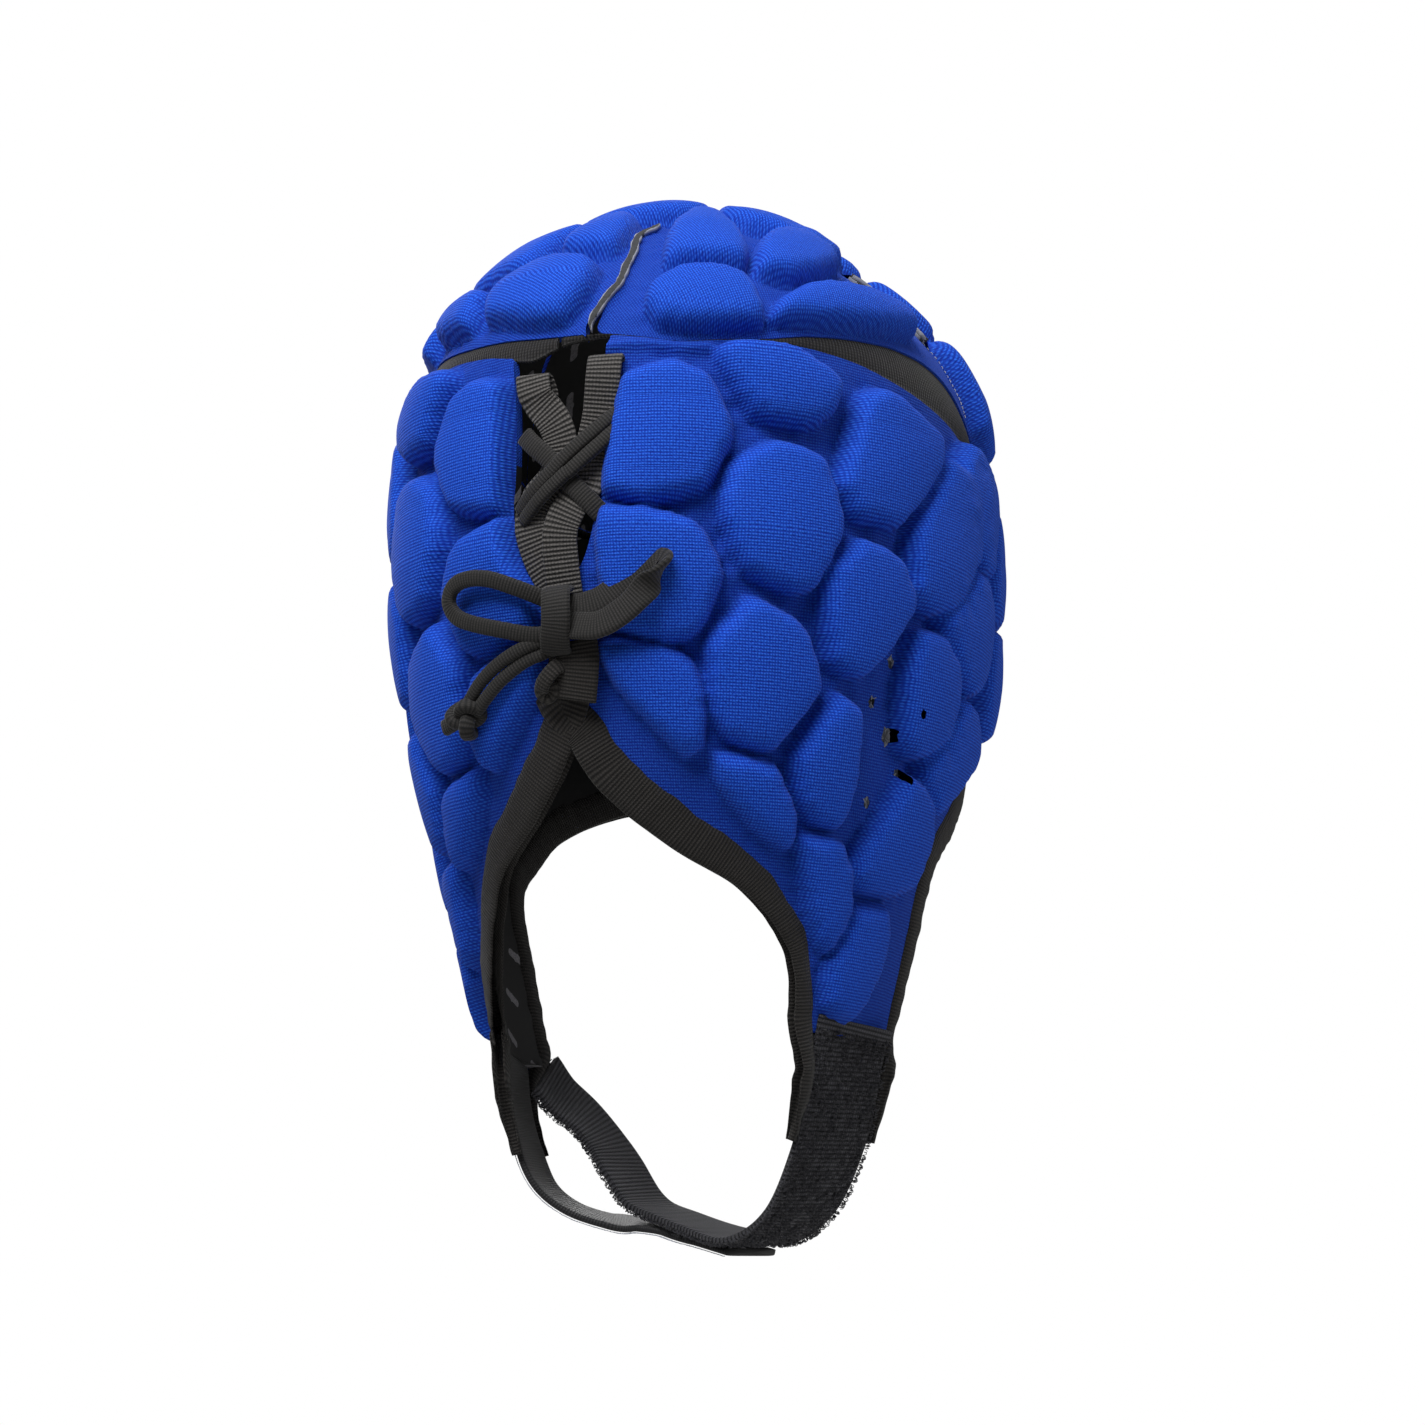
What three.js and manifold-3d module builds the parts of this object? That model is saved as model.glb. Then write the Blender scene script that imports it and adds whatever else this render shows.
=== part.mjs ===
import * as THREE from 'three';
import { mergeVertices } from 'three/addons/utils/BufferGeometryUtils.js';
import Module from 'manifold-3d';

const wasm = await Module();
wasm.setup();

// A rugby scrum cap in millimetres, +Z up. The face looks along -Y, the laced nape is at +Y and the
// wearer's right ear is at -X. Heights are first taken from the ear line; at the end the cap is
// lowered so that the origin is the inside of the crown, where the head bears.

// The plain shell, taken at the bottom of the valleys between the pads
const halfWidth = 79;
const halfLength = 98;
const wideLevel = 40;
const crownRise = 110;
const skirtDrop = 165;
const domePower = 2.45;
const wall = 2.6;

// The foam pads
const padHeight = 8;
const padRadius = 21;
const padValley = 6;
const padSides = 8;
const shortestSide = 11;
const padShoulder = 4.5;
const shoulderShare = 0.72;
const padSkew = 7;

// Edges, seams and trim
const gap = 0.3;
const bindingWidth = 12;
const bindingCloth = 1.1;
const webbingThickness = 1.4;
const laceWidth = 6;
const laceThickness = 2.6;
const strandWidth = 5;
const strandOffset = 1.9;
const laceEndWidth = 7;
const bowKnotSize = [9, 8, 13];
const tailKnotSize = [12, 9, 10];
const strapWidth = 36;
const strapThickness = 2.4;
const strapEndWidth = 27;
const tabWidth = 28;
const tabThickness = 2;
const strapDrop = 55;
const bindingStart = 2;
const seamMargin = 2;
const flapTip = 92;
const earHole = 1.7;
const slitWidth = 1.2;
const ventWidth = 5;

const halfTurn = 180;
const columns = 22;
const domeRows = 5;

// Skirt sections below the widest level: drop, half width, front reach, back reach, as shares of
// skirtDrop, halfWidth, halfLength and halfLength
const skirtSections = [
  [0, 1, 1, 1],
  [0.182, 0.962, 0.99, 0.949],
  [0.364, 0.899, 0.959, 0.883],
  [0.545, 0.816, 0.898, 0.745],
  [0.697, 0.742, 0.816, 0.694],
  [0.848, 0.665, 0.735, 0.653],
  [1, 0.582, 0.633, 0.592],
];

// Pads of the right side panel: angle round the head from the front, height from the widest level
// as a share of crownRise. The left panel has the same pads, a little nearer the lacing.
const sidePads = [
  [157, 0.232],
  [135.5, 0.368],
  [114, 0.245],
  [98, 0.086],
  [136, 0.036],
  [160, -0.109],
  [118.5, -0.145],
  [139.5, -0.35],
  [100.5, -0.327],
  [124.5, -0.545],
  [141, -0.645],
  [158, -0.436],
  [105, -0.709],
  [122, -0.836],
  [109.5, -1.009],
  [80, 0.218],
  [64, 0.1],
  [87, -0.114],
  [63, -0.182],
  [87, -0.464],
  [40, 0.218],
  [38, -0.055],
  [15, 0.182],
  [14, -0.082],
];

// Pads of the crown, in the same two columns, all the way round
const crownPads = [
  [13, 0.56],
  [40, 0.57],
  [64, 0.6],
  [121, 0.613],
  [152, 0.582],
  [187, 0.627],
  [215, 0.591],
  [243, 0.62],
  [296, 0.6],
  [320, 0.57],
  [347, 0.56],
  [55, 0.8],
  [20, 0.8],
  [124, 0.782],
  [151, 0.79],
  [181, 0.818],
  [212, 0.8],
  [241, 0.79],
  [305, 0.8],
  [340, 0.8],
  [100, 0.936],
  [150, 0.936],
  [205, 0.936],
  [257, 0.936],
  [310, 0.936],
  [0, 0.936],
  [50, 0.936],
  [0, 1],
];

// Ear holes of the right panel, in the same two columns
const earHoles = [
  [109, -0.265],
  [113, -0.375],
  [104, -0.382],
  [108, -0.45],
  [103.5, -0.538],
  [111.5, -0.62],
];

// Side-view outlines: reach along Y as a share of halfLength, height from the widest level as a
// share of crownRise
const crownHem = [
  [-1.2, 0.33], [-0.71, 0.345], [-0.32, 0.436], [0.02, 0.509],
  [0.24, 0.538], [0.45, 0.532], [0.69, 0.5], [0.91, 0.473], [1.2, 0.465],
];
const panelTop = [
  [-1.2, 0.3], [-0.71, 0.31], [-0.32, 0.354], [0.02, 0.4],
  [0.24, 0.45], [0.45, 0.49], [0.69, 0.493], [0.91, 0.467], [1.2, 0.459],
];
const crownSeam = [[-0.36, 0.3], [-0.245, 0.59], [-0.09, 0.71], [0, 0.855], [0.05, 1], [0.05, 1.3]];
const lensFront = -0.75;
const lensBack = 0.68;
const ventSlot = [[-0.1, 0.695], [-0.02, 0.87]];
const faceEdge = [
  [-1.2, -0.29], [-0.97, -0.3], [-0.7, -0.37], [-0.45, -0.49],
  [-0.21, -0.664], [-0.15, -0.805], [-0.12, -0.936], [-0.08, -1.073], [-0.07, -1.2],
];
const napeEdge = [
  [0.3, -1.2], [0.33, -1.145], [0.367, -1.027], [0.45, -0.9], [0.55, -0.818],
  [0.684, -0.727], [0.8, -0.636], [0.88, -0.5], [0.925, -0.4], [1.2, -0.38],
];

// Back-view outlines: half width as a share of halfWidth, height as above
const lacingGap = [
  [0.2, 0.7], [0.175, 0.48], [0.155, 0.32], [0.15, 0.18], [0.157, 0.055],
  [0.12, -0.055], [0.045, -0.155], [0.016, -0.255], [0.016, -0.5],
];
const crownSlit = [[-0.144, 0.4], [-0.145, 0.49], [-0.173, 0.69], [-0.125, 0.82], [-0.155, 0.88]];

// Inner edge of each strip of webbing, in the same two columns
const webbingTop = 0.455;
const webbingBottom = -0.14;
const webbingMiddle = [[0.008, -0.14], [0.008, 0.2], [0.03, 0.33], [0.05, 0.455]];

// Routes of the lace over the back: distance from the middle, height from the ear line, lift
const underRoute = [[8, 66, 0.9], [2, 60, 0.9], [-5, 53, 0.9], [-11, 47, 0.9]];
const overRoute = [[10, 47.5, 1.2], [5, 53, 3.4], [-1, 58.5, 4.2], [-7, 64.5, 3.4], [-11.5, 70.5, 1.2]];
const bowPlace = [-1, 17, 3.9];
const leftLoop = [[3.7, 19.7, 5.2], [10, 24, 9.6], [20, 29.5, 11.2], [26, 26, 11.4], [21, 18.5, 11.2],
  [11, 14.2, 9.8], [3.7, 13.9, 5.2]];
const rightLoop = [[-5.7, 19.7, 5.2], [-13, 25, 10], [-22, 33, 10.6], [-29, 29, 10.8], [-24, 17, 10.6],
  [-15, 11.5, 9.8], [-5.7, 13.9, 5.2]];
const tailRoute = [[4.9, 9.3, 4], [9.5, 4.8, 7.2], [14, 0.5, 9], [18.9, -4.1, 9.6]];
const tailKnot = [22.8, -7.4, 10.2];
const hemRoute = [[-1.2, 10, 3.5], [-1, 3, 3.4], [-0.5, -3.5, 3.4]];

// Routes of the chin strap and tab: shares of halfWidth, halfLength and strapDrop
const strapRoute = [
  [-0.67, 0.14, 0.01], [-0.635, 0.125, 0.23], [-0.56, 0.095, 0.55], [-0.43, 0.05, 0.85],
  [-0.25, 0.01, 0.985], [-0.05, -0.03, 0.915], [0.13, -0.05, 0.82], [0.24, -0.05, 0.745],
  [0.31, -0.04, 0.6], [0.38, -0.03, 0.435], [0.455, 0, 0.285], [0.535, 0.04, 0.165], [0.575, 0.08, 0.05],
];
const tabRoute = [
  [0.67, 0.14, 0.01], [0.66, 0.125, 0.23], [0.633, 0.1, 0.45], [0.58, 0.08, 0.65], [0.487, 0.05, 0.775],
  [0.36, 0.01, 0.845], [0.24, -0.03, 0.87], [0.1, -0.05, 0.91], [-0.05, -0.04, 0.975],
  [-0.19, -0.03, 1.04],
];

const fabric = new THREE.MeshStandardMaterial({ color: 0x1c3fd0, roughness: 0.85, metalness: 0 });
const ribbing = new THREE.MeshStandardMaterial({ color: 0x1a1a1c, roughness: 0.9, metalness: 0 });
const elastic = new THREE.MeshStandardMaterial({ color: 0x141416, roughness: 0.8, metalness: 0 });
const pile = new THREE.MeshStandardMaterial({ color: 0x1c1d22, roughness: 1, metalness: 0 });

const up = new THREE.Vector3(0, 0, 1);
const heightAt = (share) => wideLevel + share * crownRise;
const radians = THREE.MathUtils.degToRad;

// Half width and the two reaches of the shell at a height below the widest level
function skirtAt(z) {
  const drop = THREE.MathUtils.clamp((wideLevel - z) / skirtDrop, 0, 1);
  const next = Math.max(1, skirtSections.findIndex((row) => row[0] >= drop));
  const [above, below] = [skirtSections[next - 1], skirtSections[next]];
  const t = (drop - above[0]) / (below[0] - above[0]);
  const mixed = above.map((value, column) => THREE.MathUtils.lerp(value, below[column], t));
  return { half: mixed[1] * halfWidth, front: mixed[2] * halfLength, back: mixed[3] * halfLength };
}

// How far out a point is, 1 on the shell
function fullness(p) {
  const { half, front, back } = skirtAt(Math.min(p.z, wideLevel));
  const round = Math.hypot(p.x / half, p.y / (p.y < 0 ? front : back));
  const rise = Math.max(0, (p.z - wideLevel) / crownRise);
  return (round ** domePower + rise ** domePower) ** (1 / domePower);
}

function normalAt(p) {
  const step = 0.5;
  const along = (axis) => {
    const [ahead, behind] = [p.clone(), p.clone()];
    ahead[axis] += step;
    behind[axis] -= step;
    return fullness(ahead) - fullness(behind);
  };
  return new THREE.Vector3(along('x'), along('y'), along('z')).normalize();
}

// The point of the shell in line with p, raised by lift along the shell's normal
function onShell(p, lift) {
  const centre = new THREE.Vector3(0, 0, Math.min(p.z, wideLevel));
  const q = p.clone().sub(centre).divideScalar(fullness(p)).add(centre);
  return q.addScaledVector(normalAt(q), lift);
}

function shellPoint(angle, z, lift) {
  const rise = THREE.MathUtils.clamp((z - wideLevel) / crownRise, 0, 1);
  const round = (1 - rise ** domePower) ** (1 / domePower);
  const { half, front, back } = skirtAt(Math.min(z, wideLevel));
  const [sine, cosine] = [Math.sin(radians(angle)), Math.cos(radians(angle))];
  const p = new THREE.Vector3(-half * sine, -(cosine > 0 ? front : back) * cosine, z);
  p.x *= round;
  p.y *= round;
  return p.addScaledVector(round > 0 ? normalAt(p) : up, lift);
}

// The point on one side of the head at a given reach and height, on the shell raised by lift, at
// least spare off the middle
function sidePoint(side, y, z, lift, spare = 0) {
  const { half, front, back } = skirtAt(Math.min(z, wideLevel));
  const rise = Math.max(0, (z - wideLevel) / crownRise);
  const round = (1 - rise ** domePower) ** (1 / domePower);
  const furthest = ((y < 0 ? front : back) + lift) * round;
  const reach = THREE.MathUtils.clamp(y, -furthest, furthest);
  const out = (half + lift) * round * Math.sqrt(1 - (reach / furthest) ** 2);
  return new THREE.Vector3(side * Math.max(spare, out), reach, z);
}

function backPoint(x, z, lift) {
  const { half, back } = skirtAt(Math.min(z, wideLevel));
  return onShell(new THREE.Vector3(x, back * Math.sqrt(1 - (x / half) ** 2), z), lift);
}

function solid(points, triangles) {
  const vertProperties = new Float32Array(points.flatMap((p) => p.toArray()));
  let volume = 0;
  for (const [a, b, c] of triangles) {
    volume += points[a].clone().cross(points[b]).dot(points[c]);
  }
  const turned = volume < 0 ? triangles.map(([a, b, c]) => [a, c, b]) : triangles;
  const triVerts = new Uint32Array(turned.flat());
  return new wasm.Manifold(new wasm.Mesh({ numProp: 3, vertProperties, triVerts }));
}

function solidFrom(geometry) {
  geometry.deleteAttribute('normal');
  geometry.deleteAttribute('uv');
  const merged = mergeVertices(geometry, 1e-4);
  const { array } = merged.getAttribute('position');
  const triVerts = new Uint32Array(merged.getIndex().array);
  return new wasm.Manifold(new wasm.Mesh({ numProp: 3, vertProperties: array, triVerts }));
}

// The main body of a cut piece, without the crumbs that the cuts leave
function mainBody(manifold) {
  const bodies = manifold.decompose();
  return bodies.reduce((a, b) => (a.volume() > b.volume() ? a : b));
}

const cap = new THREE.Group();

function addPiece(name, manifold, material) {
  const { vertProperties, triVerts } = manifold.getMesh();
  const geometry = new THREE.BufferGeometry();
  geometry.setAttribute('position', new THREE.BufferAttribute(vertProperties, 3));
  geometry.setIndex(new THREE.BufferAttribute(triVerts, 1));
  const mesh = new THREE.Mesh(geometry, material);
  mesh.name = name;
  cap.add(mesh);
}

// The whole shell from the apex down to its lowest row, between two lifts
function wholeShell(outerLift, innerLift) {
  const levels = [];
  for (let row = 1; row <= domeRows; row += 1) {
    levels.push(heightAt(Math.cos((row / domeRows) * Math.PI / 2) ** (2 / domePower)));
  }
  levels.push(...skirtSections.slice(1).map(([drop]) => wideLevel - drop * skirtDrop));
  const points = [];
  for (const lift of [outerLift, innerLift]) {
    points.push(shellPoint(0, heightAt(1), lift));
    for (const z of levels) {
      for (let column = 0; column < columns; column += 1) {
        points.push(shellPoint((column / columns) * 2 * halfTurn, z, lift));
      }
    }
  }
  const layer = 1 + levels.length * columns;
  const at = (inner, row, column) => (inner ? layer : 0) + 1 + row * columns + (column % columns);
  const triangles = [];
  for (let column = 0; column < columns; column += 1) {
    triangles.push([0, at(false, 0, column + 1), at(false, 0, column)]);
    triangles.push([layer, at(true, 0, column), at(true, 0, column + 1)]);
    for (let row = 1; row < levels.length; row += 1) {
      const outer = [at(false, row - 1, column), at(false, row - 1, column + 1),
        at(false, row, column + 1), at(false, row, column)];
      const inner = [at(true, row - 1, column), at(true, row - 1, column + 1),
        at(true, row, column + 1), at(true, row, column)];
      triangles.push([outer[0], outer[1], outer[2]], [outer[0], outer[2], outer[3]]);
      triangles.push([inner[0], inner[2], inner[1]], [inner[0], inner[3], inner[2]]);
    }
    const rim = levels.length - 1;
    const corners = [at(false, rim, column), at(false, rim, column + 1),
      at(true, rim, column + 1), at(true, rim, column)];
    triangles.push([corners[0], corners[1], corners[2]], [corners[0], corners[2], corners[3]]);
  }
  return solid(points, triangles);
}

// A convex outline with the part beyond a line cut away: the line lies at a distance along toward
function clipOutline(outline, toward, distance) {
  const kept = [];
  outline.forEach((from, index) => {
    const to = outline[(index + 1) % outline.length];
    const [a, b] = [from.dot(toward) - distance, to.dot(toward) - distance];
    if (a <= 0) {
      kept.push(from);
    }
    if (a * b < 0) {
      kept.push(from.clone().lerp(to, a / (a - b)));
    }
  });
  return kept;
}

// An outline with every side shorter than the shortest one closed up
function fewerCorners(outline) {
  const kept = [];
  for (const corner of outline) {
    const last = kept[kept.length - 1];
    if (!last || last.distanceTo(corner) > shortestSide) {
      kept.push(corner);
    }
  }
  return kept[0].distanceTo(kept[kept.length - 1]) > shortestSide ? kept : kept.slice(1);
}

// One domed foam pad, its outline cut half a valley short of each neighbour and of the panel's edge.
// Each edge is a list of points with the margin that the pad keeps to it.
function padSolid(site, edges) {
  const out = site.z > heightAt(1) - 1 ? up : normalAt(site);
  const across = out === up ? new THREE.Vector3(1, 0, 0) : up.clone().cross(out).normalize();
  const upward = out.clone().cross(across);
  let outline = [];
  for (let corner = 0; corner < padSides; corner += 1) {
    const turn = (corner / padSides) * 2 * Math.PI;
    outline.push(new THREE.Vector2(Math.cos(turn), Math.sin(turn)).multiplyScalar(padRadius));
  }
  for (const other of allSites) {
    const away = other.clone().sub(site);
    const distance = away.length();
    if (distance > 1 && distance < 2 * padRadius + padValley) {
      const toward = new THREE.Vector2(away.dot(across), away.dot(upward)).normalize();
      outline = clipOutline(outline, toward, (distance - padValley) / 2);
    }
  }
  for (const { line, margin } of edges) {
    const nearest = line.reduce((a, b) => (a.distanceTo(site) < b.distanceTo(site) ? a : b));
    const away = nearest.clone().sub(site);
    const toward = new THREE.Vector2(away.dot(across), away.dot(upward)).normalize();
    outline = clipOutline(outline, toward, Math.max(padShoulder, away.length() - margin));
  }
  outline = fewerCorners(outline);
  const middle = outline.reduce((sum, corner) => sum.add(corner), new THREE.Vector2());
  middle.divideScalar(outline.length);
  const place = (corner, lift) => {
    const p = site.clone().addScaledVector(across, corner.x).addScaledVector(upward, corner.y);
    return onShell(p, lift);
  };
  const count = outline.length;
  const points = outline.map((corner) => place(corner, -wall / 2));
  for (const corner of outline) {
    const reach = corner.clone().sub(middle);
    const inset = Math.max(0.3, 1 - padShoulder / reach.length());
    points.push(place(reach.multiplyScalar(inset).add(middle), shoulderShare * padHeight));
  }
  points.push(place(middle, padHeight));
  const triangles = [];
  for (let corner = 0; corner < count; corner += 1) {
    const next = (corner + 1) % count;
    triangles.push([corner, next, count + next], [corner, count + next, count + corner]);
    triangles.push([count + corner, count + next, 2 * count]);
    if (corner > 1) {
      triangles.push([0, corner, corner - 1]);
    }
  }
  return solid(points, triangles);
}

// Outline points from a table of shares, rounded by a spline
function smoothOutline(table, size, steps) {
  const corners = table.map(([reach, rise]) => new THREE.Vector2(reach * size, heightAt(rise)));
  return new THREE.SplineCurve(corners).getPoints(steps);
}

// A side-view region, right through from one side of the head to the other
function sideRegion(outline, from = -2 * halfWidth, to = 2 * halfWidth) {
  const shape = new THREE.Shape(outline);
  const geometry = new THREE.ExtrudeGeometry(shape, { depth: to - from, bevelEnabled: false });
  const axes = [new THREE.Vector3(0, 1, 0), up, new THREE.Vector3(1, 0, 0)];
  geometry.applyMatrix4(new THREE.Matrix4().makeBasis(...axes).setPosition(from, 0, 0));
  return solidFrom(geometry);
}

// A back-view region, from the middle of the head out past the nape
function backRegion(outline) {
  const shape = new THREE.Shape(outline);
  const geometry = new THREE.ExtrudeGeometry(shape, { depth: 2 * halfLength, bevelEnabled: false });
  const axes = [new THREE.Vector3(1, 0, 0), up, new THREE.Vector3(0, -1, 0)];
  geometry.applyMatrix4(new THREE.Matrix4().makeBasis(...axes).setPosition(0, 2 * halfLength, 0));
  return solidFrom(geometry);
}

// A section swept along frames: each frame has an origin and two directions for the section's axes
function sweep(frames, sectionAt) {
  const points = [];
  frames.forEach(({ origin, across, out }, index) => {
    for (const [a, b] of sectionAt(index / (frames.length - 1))) {
      points.push(origin.clone().addScaledVector(across, a).addScaledVector(out, b));
    }
  });
  const first = sectionAt(0);
  const count = first.length;
  const triangles = [];
  for (let ring = 1; ring < frames.length; ring += 1) {
    for (let corner = 0; corner < count; corner += 1) {
      const next = (corner + 1) % count;
      const [a, b] = [(ring - 1) * count, ring * count];
      triangles.push([a + corner, a + next, b + next], [a + corner, b + next, b + corner]);
    }
  }
  const cover = THREE.ShapeUtils.triangulateShape(first.map(([a, b]) => new THREE.Vector2(a, b)), []);
  const turned = THREE.ShapeUtils.area(first.map(([a, b]) => new THREE.Vector2(a, b))) < 0;
  const last = (frames.length - 1) * count;
  for (const face of cover) {
    const [a, b, c] = turned ? [face[0], face[2], face[1]] : face;
    triangles.push([a, c, b], [last + a, last + b, last + c]);
  }
  return solid(points, triangles);
}

// Frames along a curve whose out direction follows a given rule
function framesAlong(curve, steps, outAt) {
  const frames = [];
  for (let step = 0; step <= steps; step += 1) {
    const origin = curve.getPointAt(step / steps);
    const tangent = curve.getTangentAt(step / steps);
    const wanted = outAt(origin, step / steps);
    const out = wanted.addScaledVector(tangent, -wanted.dot(tangent)).normalize();
    frames.push({ origin, across: tangent.cross(out).normalize(), out });
  }
  return frames;
}

const mirrored = (angle) => {
  const fromBack = halfTurn - angle;
  return halfTurn + fromBack - padSkew * (1 - fromBack / halfTurn);
};

const siteOf = ([angle, rise]) => shellPoint(angle, heightAt(rise), 0);
const rightSites = sidePads.map(siteOf);
const leftSites = sidePads.map(([angle, rise]) => siteOf([mirrored(angle), rise]));
const crownSites = crownPads.map(siteOf);
const allSites = [...rightSites, ...leftSites, ...crownSites];

const top = heightAt(1.3);
const bottom = -flapTip;
const hemPoints = smoothOutline(crownHem, halfLength, 24);
const topPoints = smoothOutline(panelTop, halfLength, 24);
const seamPoints = smoothOutline(crownSeam, halfLength, 10);
const facePoints = smoothOutline(faceEdge, halfLength, 24).filter((p) => p.y > bottom);
const napePoints = smoothOutline(napeEdge, halfLength, 27).filter((p) => p.y > bottom);
const farFront = -1.2 * halfLength;
const farBack = 1.2 * halfLength;
const shifted = (points, across, upward) => points.map(
  (p) => new THREE.Vector2(p.x + across, p.y + upward));
const crosses = (p) => fullness(new THREE.Vector3(0, p.x, p.y)) < 1;
const onSide = (side, points) => points.filter(crosses).map((p) => sidePoint(side, p.x, p.y, 0));
const onBothSides = (points) => [...onSide(-1, points), ...onSide(1, points)];

const plainShell = wholeShell(0, -wall);

function padded(sites, edges) {
  return sites.reduce((body, site) => body.add(padSolid(site, edges)), plainShell);
}

// Crown: a front and a rear panel meeting at a cross seam, with a vent at each side of the seam and
// a slit down the middle of the rear panel
function crownPanels() {
  const slitLine = crownSlit.map(([x, rise]) => new THREE.Vector2(x * halfWidth, heightAt(rise)));
  const whole = padded(crownSites, [
    { line: onBothSides(hemPoints), margin: seamMargin },
    { line: onBothSides(seamPoints), margin: seamMargin },
    { line: slitLine.map((p) => backPoint(p.x, p.y, 0)), margin: seamMargin },
  ]);
  const behind = [...shifted(seamPoints, gap / 2, 0), new THREE.Vector2(farBack, top),
    new THREE.Vector2(farBack, 0)];
  const before = [...shifted(seamPoints, -gap / 2, 0), new THREE.Vector2(farFront, top),
    new THREE.Vector2(farFront, 0)];
  const aboveHem = sideRegion([...hemPoints, new THREE.Vector2(farBack, top),
    new THREE.Vector2(farFront, top)]);
  const [low, high] = ventSlot.map(
    ([reach, rise]) => new THREE.Vector2(reach * halfLength, heightAt(rise)));
  const lean = high.clone().sub(low).normalize();
  const aside = new THREE.Vector2(lean.y, -lean.x).multiplyScalar(ventWidth / 2);
  const middle = low.clone().lerp(high, 0.5);
  const vent = sideRegion([low, middle.clone().add(aside), high, middle.clone().sub(aside)]);
  const slit = backRegion([...shifted(slitLine, slitWidth / 2, 0),
    ...shifted(slitLine, -slitWidth / 2, 0).reverse()]);
  const above = whole.intersect(aboveHem).subtract(vent);
  addPiece('crown_rear', above.intersect(sideRegion(behind)).subtract(slit), fabric);
  addPiece('crown_front', above.intersect(sideRegion(before)), fabric);
}

// The black ribbed band that shows in the lens between the crown and each side panel
function ventBands() {
  const inLens = (p) => p.x > lensFront * halfLength && p.x < lensBack * halfLength;
  const lens = sideRegion([...shifted(topPoints.filter(inLens), 0, gap),
    ...shifted(hemPoints.filter(inLens), 0, -gap).reverse()]);
  for (const band of wholeShell(-wall / 4, -wall).intersect(lens).decompose()) {
    const right = band.boundingBox().max[0] < 0;
    addPiece(right ? 'vent_band_right' : 'vent_band_left', band, ribbing);
  }
}

// Cloth folded round an edge of a side panel: a channel with the panel's wall in its slot. It starts
// beside the middle seam and ends at the flap tip.
function bindingFrames(side, outline, steps) {
  const level = outline.find((p) => !crosses(p));
  const places = outline.filter(crosses);
  const end = places[0].y < places[places.length - 1].y ? places.length - 1 : 0;
  const middle = new THREE.Vector2(Math.sign(level.x) * 2 * halfLength, (level.y + places[end].y) / 2);
  const line = end === 0 ? [middle, ...places] : [...places, middle];
  const points = line.map((p) => sidePoint(side, p.x, p.y, -wall / 2, bindingStart));
  const curve = new THREE.CatmullRomCurve3(points, false, 'centripetal');
  return framesAlong(curve, steps, (p) => normalAt(p));
}

function bindingSection(inward, spare, face = wall / 2 + gap + bindingCloth + spare) {
  const slot = wall / 2 + gap - spare;
  const [edge, hem] = [-bindingCloth - gap - spare, bindingWidth + spare];
  const inner = -(wall / 2 + gap + bindingCloth + spare);
  const corners = [[edge, inner], [hem, inner], [hem, -slot], [spare, -slot],
    [spare, slot], [hem, slot], [hem, face], [edge, face]];
  return corners.map(([a, b]) => [inward * a, b]);
}

function earHoleAt(side, [angle, rise]) {
  const place = shellPoint(side < 0 ? angle : mirrored(angle), heightAt(rise), 0);
  const hole = new THREE.CylinderGeometry(earHole, earHole, 8 * wall, 5);
  const turn = new THREE.Quaternion().setFromUnitVectors(new THREE.Vector3(0, 1, 0), normalAt(place));
  hole.applyQuaternion(turn);
  hole.translate(place.x, place.y, place.z);
  return solidFrom(hole);
}

function sidePanel(side) {
  const label = side < 0 ? 'right' : 'left';
  const outline = [...topPoints, ...[...napePoints].reverse(),
    new THREE.Vector2(napeEdge[1][0] * halfLength, bottom),
    new THREE.Vector2(faceEdge[7][0] * halfLength, bottom), ...[...facePoints].reverse()];
  const half = side < 0 ? sideRegion(outline, -2 * halfWidth, -gap / 2)
    : sideRegion(outline, gap / 2, 2 * halfWidth);
  const edgeLine = smoothOutline(lacingGap, side * halfWidth, 16);
  const lacing = backRegion([...edgeLine, new THREE.Vector2(-side, heightAt(-0.5)),
    new THREE.Vector2(-side, heightAt(0.7))]);
  const body = padded(side < 0 ? rightSites : leftSites, [
    { line: onSide(side, topPoints), margin: seamMargin },
    { line: onSide(side, facePoints), margin: bindingWidth },
    { line: onSide(side, napePoints), margin: bindingWidth },
    { line: edgeLine.map((p) => backPoint(p.x, p.y, 0)), margin: seamMargin },
  ]);
  let panel = body.intersect(half).subtract(lacing);
  for (const [name, line, steps] of [['face', facePoints, 18], ['nape', napePoints, 17]]) {
    const frames = bindingFrames(side, line, steps);
    const room = sweep(frames, () => bindingSection(-side, gap, 2 * padHeight));
    panel = panel.subtract(room);
    addPiece(`binding_${name}_${label}`, sweep(frames, () => bindingSection(-side, 0)), ribbing);
  }
  panel = earHoles.reduce((part, place) => part.subtract(earHoleAt(side, place)), panel);
  addPiece(`side_panel_${label}`, mainBody(panel), fabric);
}

// Webbing sewn behind each lacing edge, showing in the gap
function laceWebbing(side) {
  const edge = smoothOutline(lacingGap, side * halfWidth, 16);
  const inGap = (p) => p.y < heightAt(webbingTop) && p.y > heightAt(webbingBottom);
  const middle = webbingMiddle.map(
    ([x, rise]) => new THREE.Vector2(side * x * halfWidth, heightAt(rise)));
  const outline = [...shifted(edge.filter(inGap), -side * gap, 0), ...middle];
  const layer = wholeShell(-wall / 4, -wall / 4 - webbingThickness);
  addPiece(side < 0 ? 'lace_webbing_right' : 'lace_webbing_left',
    layer.intersect(backRegion(outline)), ribbing);
}

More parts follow.
